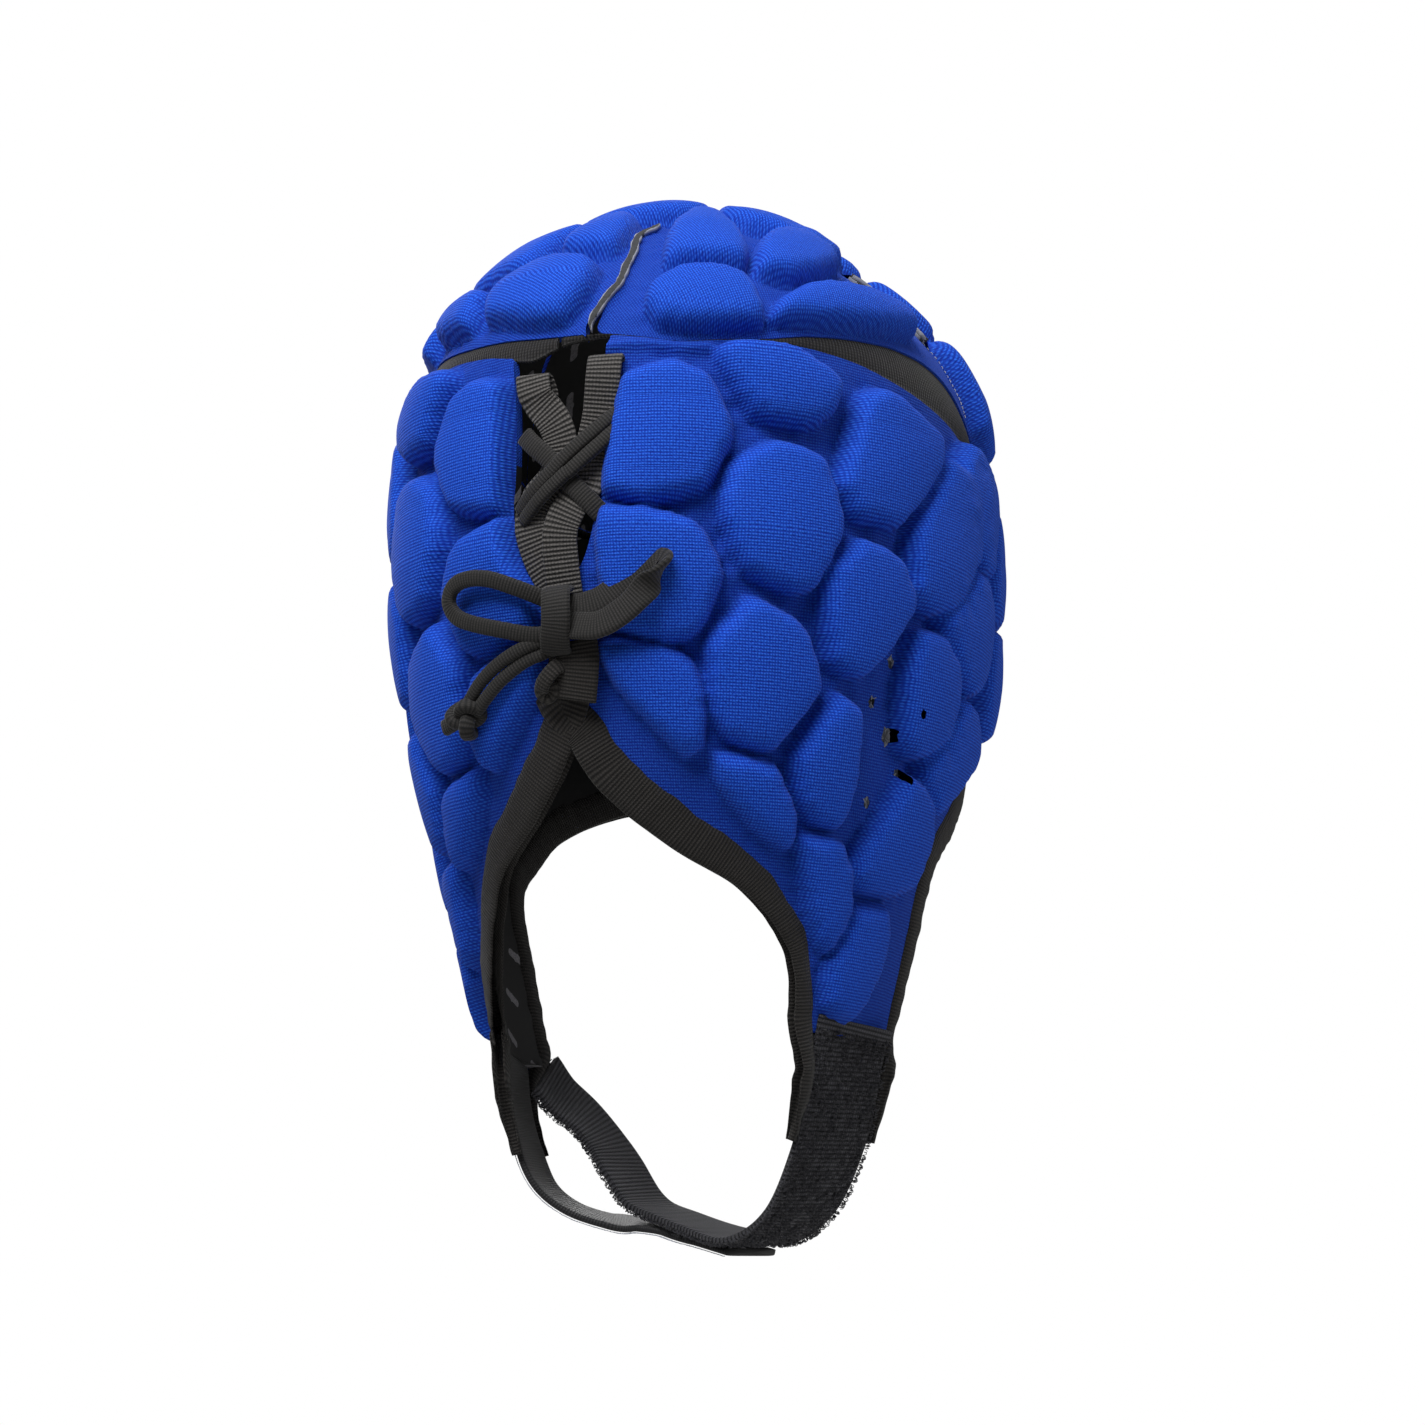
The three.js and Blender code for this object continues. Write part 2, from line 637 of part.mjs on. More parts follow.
// A flat tube of lace over the back of the cap, through points of reach, height and lift
function laceAlong(name, route, steps, width = laceWidth) {
  const points = route.map(([x, z, lift]) => backPoint(x, z, lift));
  const curve = new THREE.CatmullRomCurve3(points);
  const [side, face] = [width / 2, laceThickness / 2];
  const section = [[-side, -face / 3], [-side * 0.7, -face], [side * 0.7, -face], [side, -face / 3],
    [side, face / 3], [side * 0.7, face], [-side * 0.7, face], [-side, face / 3]];
  const frames = framesAlong(curve, steps, (p) => normalAt(p));
  addPiece(name, sweep(frames, () => section), elastic);
}

function knotAt(name, [x, z, lift], size) {
  const ball = new THREE.SphereGeometry(0.5, 9, 6);
  ball.scale(...size);
  const turn = new THREE.Quaternion().setFromUnitVectors(new THREE.Vector3(0, 1, 0),
    normalAt(backPoint(x, z, 0)));
  ball.applyQuaternion(turn);
  const place = backPoint(x, z, lift);
  ball.translate(place.x, place.y, place.z);
  addPiece(name, solidFrom(ball), elastic);
}

// The lace: two crossings in the gap, a bow below them, and a tail that ends in its own knot
function lacing() {
  laceAlong('lace_under', underRoute, 4);
  for (const [name, aside] of [['lace_over_upper', strandOffset], ['lace_over_lower', -strandOffset]]) {
    laceAlong(name, overRoute.map(([x, z, lift]) => [x + aside, z + aside, lift]), 6, strandWidth);
  }
  knotAt('bow_knot', bowPlace, bowKnotSize);
  laceAlong('bow_loop_left', leftLoop, 8, strandWidth);
  laceAlong('bow_loop_right', rightLoop, 8, strandWidth);
  laceAlong('lace_tail', tailRoute, 5);
  knotAt('tail_knot', tailKnot, tailKnotSize);
  laceAlong('lace_hem', hemRoute, 3, laceEndWidth);
}

// A ribbon along a route of shares: half width, halfLength and strapDrop below the flap tips
function ribbon(name, route, widths, thickness, steps) {
  const points = route.map(([x, y, drop]) => new THREE.Vector3(
    x * halfWidth, y * halfLength, bottom - gap - drop * strapDrop));
  const curve = new THREE.CatmullRomCurve3(points, false, 'centripetal');
  const chin = new THREE.Vector3(0, 0, bottom);
  const frames = framesAlong(curve, steps, (p) => p.clone().sub(chin));
  addPiece(name, sweep(frames, (t) => {
    const half = THREE.MathUtils.lerp(widths[0], widths[1], t) / 2;
    return [[-half, -thickness / 2], [half, -thickness / 2],
      [half, thickness / 2], [-half, thickness / 2]];
  }), pile);
}

crownPanels();
ventBands();
sidePanel(-1);
sidePanel(1);
laceWebbing(-1);
laceWebbing(1);
lacing();
ribbon('chin_strap', strapRoute, [strapWidth, strapEndWidth], strapThickness, 16);
ribbon('chin_tab', tabRoute, [strapWidth, tabWidth], tabThickness, 14);

cap.position.z = -(wideLevel + crownRise - wall);

export default cap;
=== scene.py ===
import math

import bpy
import numpy as np
from mathutils import Matrix, Vector, noise
from mathutils.geometry import delaunay_2d_cdt


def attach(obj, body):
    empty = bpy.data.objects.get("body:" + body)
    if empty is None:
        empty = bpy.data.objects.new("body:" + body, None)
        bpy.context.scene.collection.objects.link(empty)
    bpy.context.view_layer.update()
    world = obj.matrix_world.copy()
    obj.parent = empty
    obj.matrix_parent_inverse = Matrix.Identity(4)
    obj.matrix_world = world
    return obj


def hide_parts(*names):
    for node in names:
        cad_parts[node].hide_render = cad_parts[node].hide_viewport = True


# Rugby scrum cap seen from behind: padded blue panels, black ribbed trim, laced nape, chin strap.
# Shapes are worked out in millimetres with heights from the ear line, then moved into the frame.

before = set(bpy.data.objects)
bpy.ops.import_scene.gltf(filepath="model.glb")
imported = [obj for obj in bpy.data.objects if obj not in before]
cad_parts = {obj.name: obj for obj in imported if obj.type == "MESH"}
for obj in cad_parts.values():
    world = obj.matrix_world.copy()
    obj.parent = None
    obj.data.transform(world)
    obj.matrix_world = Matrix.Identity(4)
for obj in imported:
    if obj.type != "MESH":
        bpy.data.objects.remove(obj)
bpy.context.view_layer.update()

earLine = -147.4  # height of the ear line in the frame, mm
mm = 0.001


def linearColour(hexCode):
    channels = [int(hexCode[i:i + 2], 16) / 255 for i in (1, 3, 5)]
    return tuple(c / 12.92 if c <= 0.04045 else ((c + 0.055) / 1.055) ** 2.4 for c in channels) + (1.0,)


def addNode(tree, kind, inputs=None, **settings):
    node = tree.nodes.new(kind)
    for name, value in settings.items():
        setattr(node, name, value)
    for key, value in (inputs or {}).items():
        if isinstance(value, bpy.types.NodeSocket):
            tree.links.new(value, node.inputs[key])
        else:
            node.inputs[key].default_value = value
    return node


# Camera and studio

# degrees, millimetres, and the focal length in pixels of the square picture
camera = {"azimuth": 204.0, "elevation": -12.0, "distance": 1400.0, "focal": 4844.0, "picture": 1425,
          "sensor": 36.0, "aimRight": 3.9, "aimUp": 8.5}
# each lamp: watts, then metres towards the camera, to its right and up, then its size
studio = {
    "sky": "#ffffff", "ambient": 0.11, "floor": "#f4f4f2", "floorSeen": "#f7f7f6",
    "floorDrop": 0.9, "floorReach": 3.0,
    "lamps": {"keyBox": (16.5, (0.8, -0.35, 0.85), (0.8, 0.6)),
              "rightBox": (4.0, (0.2, 1.3, 0.3), (0.6, 1.1)),
              "topBox": (3.2, (0.1, 0.0, 1.2), (0.9, 0.7)),
              "frontBox": (9.0, (-1.1, -0.3, 0.6), (0.9, 0.7))},
}


def placeCamera():
    a, e = math.radians(camera["azimuth"]), math.radians(camera["elevation"])
    back = Vector((math.sin(a) * math.cos(e), -math.cos(a) * math.cos(e), math.sin(e)))
    right = Vector((math.cos(a), math.sin(a), 0.0))
    up = back.cross(right)
    aim = Vector((0, 0, earLine)) + right * camera["aimRight"] + up * camera["aimUp"]
    place = (aim + back * camera["distance"]) * mm
    lens = bpy.data.cameras.new("photoCamera")
    lens.sensor_width = camera["sensor"]
    lens.lens = camera["focal"] / camera["picture"] * camera["sensor"]
    lens.clip_start, lens.clip_end = 0.05, 20.0
    holder = bpy.data.objects.new("photoCamera", lens)
    bpy.context.scene.collection.objects.link(holder)
    holder.matrix_world = Matrix.Translation(place) @ Matrix((right, up, back)).transposed().to_4x4()
    bpy.context.scene.camera = holder
    return aim * mm, back, right, up


def softBox(name, place, aim, size, power):
    lamp = bpy.data.lights.new(name, "AREA")
    lamp.shape = "RECTANGLE"
    lamp.size, lamp.size_y = size
    lamp.energy = power
    holder = bpy.data.objects.new(name, lamp)
    holder.location = place
    holder.rotation_euler = (aim - place).to_track_quat("-Z", "Y").to_euler()
    bpy.context.scene.collection.objects.link(holder)


def buildStudio():
    aim, back, right, up = placeCamera()
    flat = Vector((back.x, back.y, 0)).normalized()
    above = Vector((0, 0, 1))
    for name, (power, (toward, sideways, height), size) in studio["lamps"].items():
        softBox(name, aim + flat * toward + right * sideways + above * height, aim, size, power)
    world = bpy.data.worlds.new("paleSky")
    bpy.context.scene.world = world
    world.use_nodes = True
    tree = world.node_tree
    tree.nodes.clear()
    # the backdrop reads as white while the light from it stays soft and low
    sky = linearColour(studio["sky"])
    seen = addNode(tree, "ShaderNodeBackground", {"Color": sky, "Strength": 1.0})
    light = addNode(tree, "ShaderNodeBackground", {"Color": sky, "Strength": studio["ambient"]})
    ray = addNode(tree, "ShaderNodeLightPath")
    both = addNode(tree, "ShaderNodeMixShader",
                   {0: ray.outputs["Is Camera Ray"], 1: light.outputs[0], 2: seen.outputs[0]})
    addNode(tree, "ShaderNodeOutputWorld", {"Surface": both.outputs[0]})
    mesh = bpy.data.meshes.new("studioFloor")
    reach, low = studio["floorReach"], (earLine * mm) - studio["floorDrop"]
    mesh.from_pydata([(-reach, -reach, low), (reach, -reach, low), (reach, reach, low), (-reach, reach, low)],
                     [], [(0, 1, 2, 3)])
    floor = bpy.data.objects.new("studioFloor", mesh)
    bpy.context.scene.collection.objects.link(floor)
    paint = bpy.data.materials.new("matt white floor paint")
    paint.use_nodes = True
    matt = paint.node_tree.nodes["Principled BSDF"]
    matt.inputs["Base Color"].default_value = linearColour(studio["floor"])
    matt.inputs["Roughness"].default_value = 0.9
    # seen directly it is as pale as the backdrop, while its bounce stays that of plain paint
    lit = addNode(paint.node_tree, "ShaderNodeEmission",
                  {"Color": linearColour(studio["floorSeen"]), "Strength": 1.0})
    sight = addNode(paint.node_tree, "ShaderNodeLightPath")
    mixed = addNode(paint.node_tree, "ShaderNodeMixShader",
                    {0: sight.outputs["Is Camera Ray"], 1: matt.outputs[0], 2: lit.outputs[0]})
    paint.node_tree.links.new(mixed.outputs[0], paint.node_tree.nodes["Material Output"].inputs[0])
    mesh.materials.append(paint)
    bpy.context.scene.view_settings.view_transform = "Standard"
    bpy.context.scene.view_settings.look = "None"


buildStudio()
print("studio ready")


# Materials

# swell: height, and how much fuller than a plain dome; rows: height, half width, reach to front and back
shell = {"wideLevel": 40.0, "crownRise": 110.0, "power": 2.45, "wall": 2.6,
         "swell": [(55, 1), (75, 1.015), (90, 1.045), (101, 1.055), (112, 1.045), (122, 1.005), (132, .955),
                   (141, .88), (147, .86), (150, .95)],
         "rows": [(40, 79, 98, 98), (10, 76, 97, 93), (-20, 71, 94, 86.5), (-50, 64.5, 88, 73),
                  (-75, 58.6, 80, 68), (-100, 52.5, 72, 64), (-125, 46, 62, 58)]}


def startMaterial(name, colour, roughness, constants=None):
    material = bpy.data.materials.new(name)
    material.use_nodes = True
    shader = material.node_tree.nodes["Principled BSDF"]
    shader.inputs["Base Color"].default_value = linearColour(colour)
    shader.inputs["Roughness"].default_value = roughness
    for key, value in (constants or {}).items():
        shader.inputs[key].default_value = value
    return material, material.node_tree, shader


def threadCoordinates(tree):
    cloth = addNode(tree, "ShaderNodeUVMap", uv_map="cloth")
    split = addNode(tree, "ShaderNodeSeparateXYZ", {0: cloth.outputs[0]})
    return cloth.outputs[0], split.outputs[0], split.outputs[1]


def ridges(tree, along, pitch, shift=None):
    # one smooth ridge each pitch, 0 to 1
    turn = addNode(tree, "ShaderNodeMath", {0: along, 1: 2 * math.pi / (pitch * mm)}, operation="MULTIPLY")
    if shift is not None:
        turn = addNode(tree, "ShaderNodeMath", {0: turn.outputs[0], 1: shift}, operation="ADD")
    wave = addNode(tree, "ShaderNodeMath", {0: turn.outputs[0]}, operation="SINE")
    half = addNode(tree, "ShaderNodeMath", {0: wave.outputs[0], 1: 0.5, 2: 0.5}, operation="MULTIPLY_ADD")
    return half.outputs[0]


# the valley entries are painted shade: the colour laid into the valleys between the pads, and the share of
# the knit's own tone kept there
knit = {"blue": "#0f46c2", "shadeBlue": "#06208a", "threadHighlightBlue": "#2c6eea", "rowPitch": 0.85,
        "stitchPitch": 0.8, "depth": 0.2, "seed": 3.7, "paintedShadeBlue": "#041668", "toneUnderPaintedShade": 0.6}


def blueKnit():
    # Warp-knitted polyester bonded to foam: fine level rows of stitches, matt, with a soft bloom of
    # fibre at grazing angles. Real rows are 0.7 mm apart and are drawn at 0.85 mm, so that they show.
    material, tree, shader = startMaterial("blue warp-knit polyester", knit["blue"], 0.85, {
        "Sheen Weight": 0.22, "Sheen Roughness": 0.4, "Sheen Tint": linearColour("#7f97ff"),
        "Specular IOR Level": 0.2})
    cloth, u, v = threadCoordinates(tree)
    wander = addNode(tree, "ShaderNodeTexNoise", {"Vector": cloth, "Scale": 120.0, "Detail": 3.0})
    drift = addNode(tree, "ShaderNodeMath", {0: wander.outputs[0], 1: knit["seed"]}, operation="MULTIPLY")
    rows = ridges(tree, v, knit["rowPitch"], drift.outputs[0])
    stitches = ridges(tree, u, knit["stitchPitch"], drift.outputs[0])
    fluff = addNode(tree, "ShaderNodeTexNoise", {"Vector": cloth, "Scale": 1500.0, "Detail": 3.0,
                                                 "Roughness": 0.7})
    crossed = addNode(tree, "ShaderNodeMath", {0: rows, 1: stitches}, operation="MULTIPLY")
    relief = addNode(tree, "ShaderNodeMath", {0: rows, 1: 0.45, 2: crossed.outputs[0]},
                     operation="MULTIPLY_ADD")
    rough = addNode(tree, "ShaderNodeMath", {0: fluff.outputs[0], 1: 2.4, 2: relief.outputs[0]},
                    operation="MULTIPLY_ADD")
    bump = addNode(tree, "ShaderNodeBump", {"Strength": 0.5, "Distance": knit["depth"] * mm,
                                            "Height": rough.outputs[0]})
    tree.links.new(bump.outputs[0], shader.inputs["Normal"])
    # the colour follows the same relief as the bump: besides the fluff's random tone, the dips of the rows
    # are painted shade and the raised threads a painted highlight
    level = addNode(tree, "ShaderNodeMapRange",
                    {"Value": rough.outputs[0], "From Min": 0.85, "From Max": 2.5})
    tone = addNode(tree, "ShaderNodeValToRGB", {0: level.outputs[0]})
    tone.color_ramp.elements[0].color = linearColour(knit["shadeBlue"])
    tone.color_ramp.elements[1].color = linearColour(knit["threadHighlightBlue"])
    middle = tone.color_ramp.elements.new(0.5)
    middle.color = linearColour(knit["blue"])
    # painted shade: the cloth in the valleys between the pads is painted a deeper blue, most where the pads
    # rise least
    top = addNode(tree, "ShaderNodeAttribute", attribute_name="padRise")
    paintedShadeFactor = addNode(tree, "ShaderNodeMapRange",
                       {"Value": top.outputs["Fac"], "From Min": 0.05, "From Max": 0.75,
                        "To Min": knit["toneUnderPaintedShade"], "To Max": 1.0})
    paintedValleyShade = addNode(tree, "ShaderNodeMix", {0: paintedShadeFactor.outputs[0], 6: linearColour(knit["paintedShadeBlue"]),
                                           7: tone.outputs[0]}, data_type="RGBA")
    tree.links.new(paintedValleyShade.outputs[2], shader.inputs["Base Color"])
    return material


def ribbedTape(name, colour, light, pitch, depth, roughness=0.85):
    # Narrow knitted or woven tape: close ribs straight across its length, dull black, with its rib crowns
    # painted lighter as a painted highlight
    material, tree, shader = startMaterial(name, colour, roughness,
                                           {"Sheen Weight": 0.12, "Specular IOR Level": 0.3})
    cloth, u, v = threadCoordinates(tree)
    ribs = ridges(tree, u, pitch)
    threads = ridges(tree, v, pitch * 0.8)
    fluff = addNode(tree, "ShaderNodeTexNoise", {"Vector": cloth, "Scale": 1900.0, "Detail": 3.0})
    softened = addNode(tree, "ShaderNodeMath", {0: threads, 1: 0.45, 2: 0.55}, operation="MULTIPLY_ADD")
    woven = addNode(tree, "ShaderNodeMath", {0: ribs, 1: softened.outputs[0]}, operation="MULTIPLY")
    rough = addNode(tree, "ShaderNodeMath", {0: fluff.outputs[0], 1: 0.6, 2: woven.outputs[0]},
                    operation="MULTIPLY_ADD")
    bump = addNode(tree, "ShaderNodeBump",
                   {"Strength": 0.8, "Distance": depth * mm, "Height": rough.outputs[0]})
    tree.links.new(bump.outputs[0], shader.inputs["Normal"])
    # painted highlight: the raised rib crowns take the lighter colour, the dips stay black
    tone = addNode(tree, "ShaderNodeValToRGB", {0: rough.outputs[0]})
    tone.color_ramp.elements[0].position, tone.color_ramp.elements[1].position = 0.3, 1.0
    tone.color_ramp.elements[0].color = linearColour(colour)
    tone.color_ramp.elements[1].color = linearColour(light)
    tree.links.new(tone.outputs[0], shader.inputs["Base Color"])
    return material


def foamEdge():
    # Raw cut edge of the laminate: dark open-cell foam between two pale cloth backings
    material, tree, shader = startMaterial("cut foam laminate", "#2c2d2e", 0.95)
    cloth, _, v = threadCoordinates(tree)
    cells = addNode(tree, "ShaderNodeTexNoise", {"Vector": cloth, "Scale": 900.0, "Detail": 4.0})
    tone = addNode(tree, "ShaderNodeValToRGB", {0: cells.outputs[0]})
    tone.color_ramp.elements[0].color = linearColour("#17181a")
    tone.color_ramp.elements[1].color = linearColour("#4a4b4d")
    # v runs through the thickness: the backings are the last third of a millimetre on each side
    middle = addNode(tree, "ShaderNodeMath", {0: v, 1: shell["wall"] / 2 * mm}, operation="ADD")
    side = addNode(tree, "ShaderNodeMath", {0: middle.outputs[0]}, operation="ABSOLUTE")
    ragged = addNode(tree, "ShaderNodeMath", {0: cells.outputs[0], 1: 0.5 * mm, 2: side.outputs[0]},
                     operation="MULTIPLY_ADD")
    edge = addNode(tree, "ShaderNodeMath", {0: ragged.outputs[0], 1: (shell["wall"] / 2 - 0.1) * mm},
                   operation="GREATER_THAN")
    both = addNode(tree, "ShaderNodeMix", {0: edge.outputs[0], 6: tone.outputs[0],
                                           7: linearColour("#8e919a")}, data_type="RGBA")
    tree.links.new(both.outputs[2], shader.inputs["Base Color"])
    return material


lining = {"black": "#141416", "grey": "#9b99a0", "tile": (24.0, 15.0), "dash": (4.5, 1.2), "dot": 1.5}


def printedMark(tree, cloth, shift, half, radius):
    # a round-ended dash or a dot in the middle of each tile
    right, up, turn = shift
    wide, tall = lining["tile"]
    moved = addNode(tree, "ShaderNodeMapping",
                    {"Vector": cloth, "Location": (right * mm, up * mm, 0), "Rotation": (0, 0, turn),
                     "Scale": (1 / (wide * mm), 1 / (tall * mm), 0)})
    part = addNode(tree, "ShaderNodeVectorMath", {0: moved.outputs[0]}, operation="FRACTION")
    centred = addNode(tree, "ShaderNodeVectorMath", {0: part.outputs[0], 1: (0.5, 0.5, 0)},
                      operation="SUBTRACT")
    real = addNode(tree, "ShaderNodeVectorMath", {0: centred.outputs[0], 1: (wide, tall, 0)},
                   operation="MULTIPLY")
    size = addNode(tree, "ShaderNodeVectorMath", {0: real.outputs[0]}, operation="ABSOLUTE")
    past = addNode(tree, "ShaderNodeVectorMath", {0: size.outputs[0], 1: (half, 0, 0)}, operation="SUBTRACT")
    out = addNode(tree, "ShaderNodeVectorMath", {0: past.outputs[0], 1: (0, 0, 0)}, operation="MAXIMUM")
    far = addNode(tree, "ShaderNodeVectorMath", {0: out.outputs[0]}, operation="LENGTH")
    mark = addNode(tree, "ShaderNodeMath", {0: far.outputs["Value"], 1: radius}, operation="LESS_THAN")
    return mark.outputs[0]


def liningCloth():
    # Thin black tricot bonded inside, with plain grey dashes and dots printed on it
    material, tree, shader = startMaterial("printed black tricot lining", lining["black"], 0.7)
    cloth = threadCoordinates(tree)[0]
    fluff = addNode(tree, "ShaderNodeTexNoise", {"Vector": cloth, "Scale": 1400.0, "Detail": 2.0})
    bump = addNode(tree, "ShaderNodeBump",
                   {"Strength": 0.3, "Distance": 0.1 * mm, "Height": fluff.outputs[0]})
    tree.links.new(bump.outputs[0], shader.inputs["Normal"])
    dash = printedMark(tree, cloth, (4, 5, 0.5), *lining["dash"])
    dot = printedMark(tree, cloth, (15, 11, 0.5), 0.0, lining["dot"])
    marks = addNode(tree, "ShaderNodeMath", {0: dash, 1: dot}, operation="MAXIMUM")
    worn = addNode(tree, "ShaderNodeMath", {0: fluff.outputs[0], 1: 1.3}, operation="MULTIPLY")
    amount = addNode(tree, "ShaderNodeMath", {0: marks.outputs[0], 1: worn.outputs[0]}, operation="MULTIPLY")
    both = addNode(tree, "ShaderNodeMix", {0: amount.outputs[0], 6: linearColour(lining["black"]),
                                           7: linearColour(lining["grey"])}, data_type="RGBA")
    tree.links.new(both.outputs[2], shader.inputs["Base Color"])
    return material


def paleThread():
    # Loose ends of the white backing cloth round the punched holes
    return startMaterial("pale backing thread", "#aeb2be", 0.8)[0]


finishes = {
    "knit": blueKnit(),
    "band": ribbedTape("ribbed black elastic band", "#050506", "#2a2828", 1.1, 0.3),
    "binding": ribbedTape("black knitted binding tape", "#0c0b0b", "#312e2c", 1.0, 0.25),
    "webbing": ribbedTape("black grosgrain webbing", "#060606", "#605d5b", 1.2, 0.5),
    "lace": ribbedTape("black elastic lace", "#0a0a0a", "#2b2928", 0.9, 0.15, 0.75),
    "pile": ribbedTape("black loop pile", "#16161a", "#4c4c52", 1.3, 0.5, 1.0),
    "strapBack": ribbedTape("smooth black strap backing", "#101012", "#29292c", 0.8, 0.1, 0.6),
    "foam": foamEdge(),
    "lining": liningCloth(),
    "thread": paleThread(),
}
print("materials ready")


# The shell that every panel lies on

def smoothedRows():
    levels = np.arange(-145.0, 61.0, 1.0)
    rows = np.array(shell["rows"][::-1], float)
    blur = np.exp(-0.5 * (np.arange(-18, 19) / 7.0) ** 2)
    blur /= blur.sum()
    columns = []
    for column in (1, 2, 3):
        line = np.interp(levels, rows[:, 0], rows[:, column])
        padded = np.concatenate([np.full(18, line[0]), line, np.full(18, line[-1])])
        columns.append(np.convolve(padded, blur, "valid"))
    return levels, columns


rowLevels, rowColumns = smoothedRows()
steps = np.linspace(0, math.pi / 2, 400)
meridian = np.stack([88 * np.sin(steps) ** (2 / shell["power"]),
                     shell["crownRise"] * np.cos(steps) ** (2 / shell["power"])], 1)
meridianLength = np.concatenate([[0], np.cumsum(np.linalg.norm(np.diff(meridian, axis=0), axis=1))])


def riseOf(z):
    # share of the way from the widest level up to the apex
    return np.clip((z - shell["wideLevel"]) / shell["crownRise"], 0, 1)


def roundness(z):
    # share of its full width that the plain dome has at a height
    return np.maximum(0, 1 - riseOf(z) ** shell["power"]) ** (1 / shell["power"])


def reachesAt(z):
    # half width, reach to the front and reach to the back
    low = np.minimum(z, shell["wideLevel"])
    return [np.interp(low, rowLevels, column) for column in rowColumns]


def shellAt(theta, z):
    half, front, back = reachesAt(z)
    full = roundness(z) * np.interp(z, *np.array(shell["swell"]).T)
    reach = np.where(np.cos(theta) > 0, front, back)
    return np.stack([-half * np.sin(theta) * full, -reach * np.cos(theta) * full, z], -1)


roundScale = 84.0  # millimetres to the radian when the sides are unrolled round the head


def sideChart(flat):
    return flat[:, 0] / roundScale, flat[:, 1]


def crownChart(flat):
    # seen from above and flattened out from the apex
    distance = np.linalg.norm(flat, axis=1)
    phi = np.interp(distance, meridianLength, steps)
    z = shell["wideLevel"] + shell["crownRise"] * np.cos(phi) ** (2 / shell["power"])
    return np.arctan2(-flat[:, 0], -flat[:, 1]), z


def crownFlat(theta, z):
    phi = np.arccos(riseOf(z) ** (shell["power"] / 2))
    distance = np.interp(phi, steps, meridianLength)
    return np.stack([-distance * np.sin(theta), -distance * np.cos(theta)], -1)


def onChart(chart, flat):
    # points on the shell and the way out of it
    flat = np.asarray(flat, float)
    place = shellAt(*chart(flat))
    sides = []
    for step in ((0.4, 0), (0, 0.4)):
        sides.append(shellAt(*chart(flat + step)) - shellAt(*chart(flat - np.array(step))))
    away = np.cross(sides[0], sides[1])
    away /= np.linalg.norm(away, axis=1)[:, None]
    centre = np.array([0, 0, 30.0])
    away[np.sum(away * (place - centre), 1) < 0] *= -1
    return place, away


def backPoints(route):
    # points given as reach across, height and lift, on the back of the shell
    route = np.asarray(route, float)
    half = reachesAt(route[:, 1])[0] * roundness(route[:, 1])
    theta = math.pi + np.arcsin(np.clip(route[:, 0] / half, -1, 1))
    place, away = onChart(sideChart, np.stack([theta * roundScale, route[:, 1]], 1))
    return place + away * route[:, 2:3], away


def smoothRoute(points, count):
    # evenly spaced points on a smooth curve through the given ones
    points = np.asarray(points, float)
    ends = np.vstack([2 * points[0] - points[1], points, 2 * points[-1] - points[-2]])
    fine = []
    for i in range(1, len(ends) - 2):
        a, b, c, d = ends[i - 1:i + 3]
        for t in np.linspace(0, 1, 24, endpoint=False):
            fine.append(0.5 * (2 * b + (c - a) * t + (2 * a - 5 * b + 4 * c - d) * t ** 2
                               + (3 * b - a - 3 * c + d) * t ** 3))
    fine.append(points[-1])
    fine = np.array(fine)
    along = np.concatenate([[0], np.cumsum(np.linalg.norm(np.diff(fine, axis=0), axis=1))])
    wanted = np.linspace(0, along[-1], count)
    return np.stack([np.interp(wanted, along, fine[:, i]) for i in range(points.shape[1])], 1)


# Meshes

def finishPiece(name, points, faces, uv, materials):
    mesh = bpy.data.meshes.new(name)
    placed = (np.asarray(points) + [0, 0, earLine]) * mm
    mesh.from_pydata(placed.tolist(), [], [list(map(int, face)) for face in faces])
    for material in materials:
        mesh.materials.append(finishes[material])
    layer = mesh.uv_layers.new(name="cloth")
    corners = np.zeros(len(mesh.loops), np.int32)
    mesh.loops.foreach_get("vertex_index", corners)
    layer.data.foreach_set("uv", (np.asarray(uv)[corners] * mm).ravel())
    mesh.shade_smooth()
    mesh.update()
    piece = bpy.data.objects.new(name, mesh)
    bpy.context.scene.collection.objects.link(piece)
    return piece


def sweepSection(name, centre, across, out, sections, material, cutEdge=False):
    # a closed section carried along a path; sections may differ from ring to ring
    rings, count = len(centre), sections.shape[1]
    points = centre[:, None] + across[:, None] * sections[..., :1] + out[:, None] * sections[..., 1:]
    points = points.reshape(-1, 3)
    along = np.concatenate([[0], np.cumsum(np.linalg.norm(np.diff(centre, axis=0), axis=1))])
    girth = np.concatenate([[0], np.cumsum(np.linalg.norm(np.diff(sections[0], axis=0), axis=1))])
    uv = np.stack(np.broadcast_arrays(along[:, None], girth[None]), -1).reshape(-1, 2)
    if cutEdge:
        # v runs once through the laminate from side to side
        share = sections[..., 0] / np.ptp(sections[..., 0], axis=1)[:, None]
        uv[:, 1] = ((share - 0.5) * shell["wall"]).ravel()
    faces = []
    for ring in range(rings - 1):
        for i in range(count):
            j = (i + 1) % count
            faces.append((ring * count + i, ring * count + j, (ring + 1) * count + j, (ring + 1) * count + i))
    for ring, turn in ((0, -1), (rings - 1, 1)):
        middle = len(points)
        points = np.vstack([points, points[ring * count:(ring + 1) * count].mean(0)])
        uv = np.vstack([uv, uv[ring * count]])
        for i in range(count):
            pair = (ring * count + i, ring * count + (i + 1) % count)
            faces.append((*(pair if turn > 0 else pair[::-1]), middle))
    return finishPiece(name, points, faces, uv, [material])


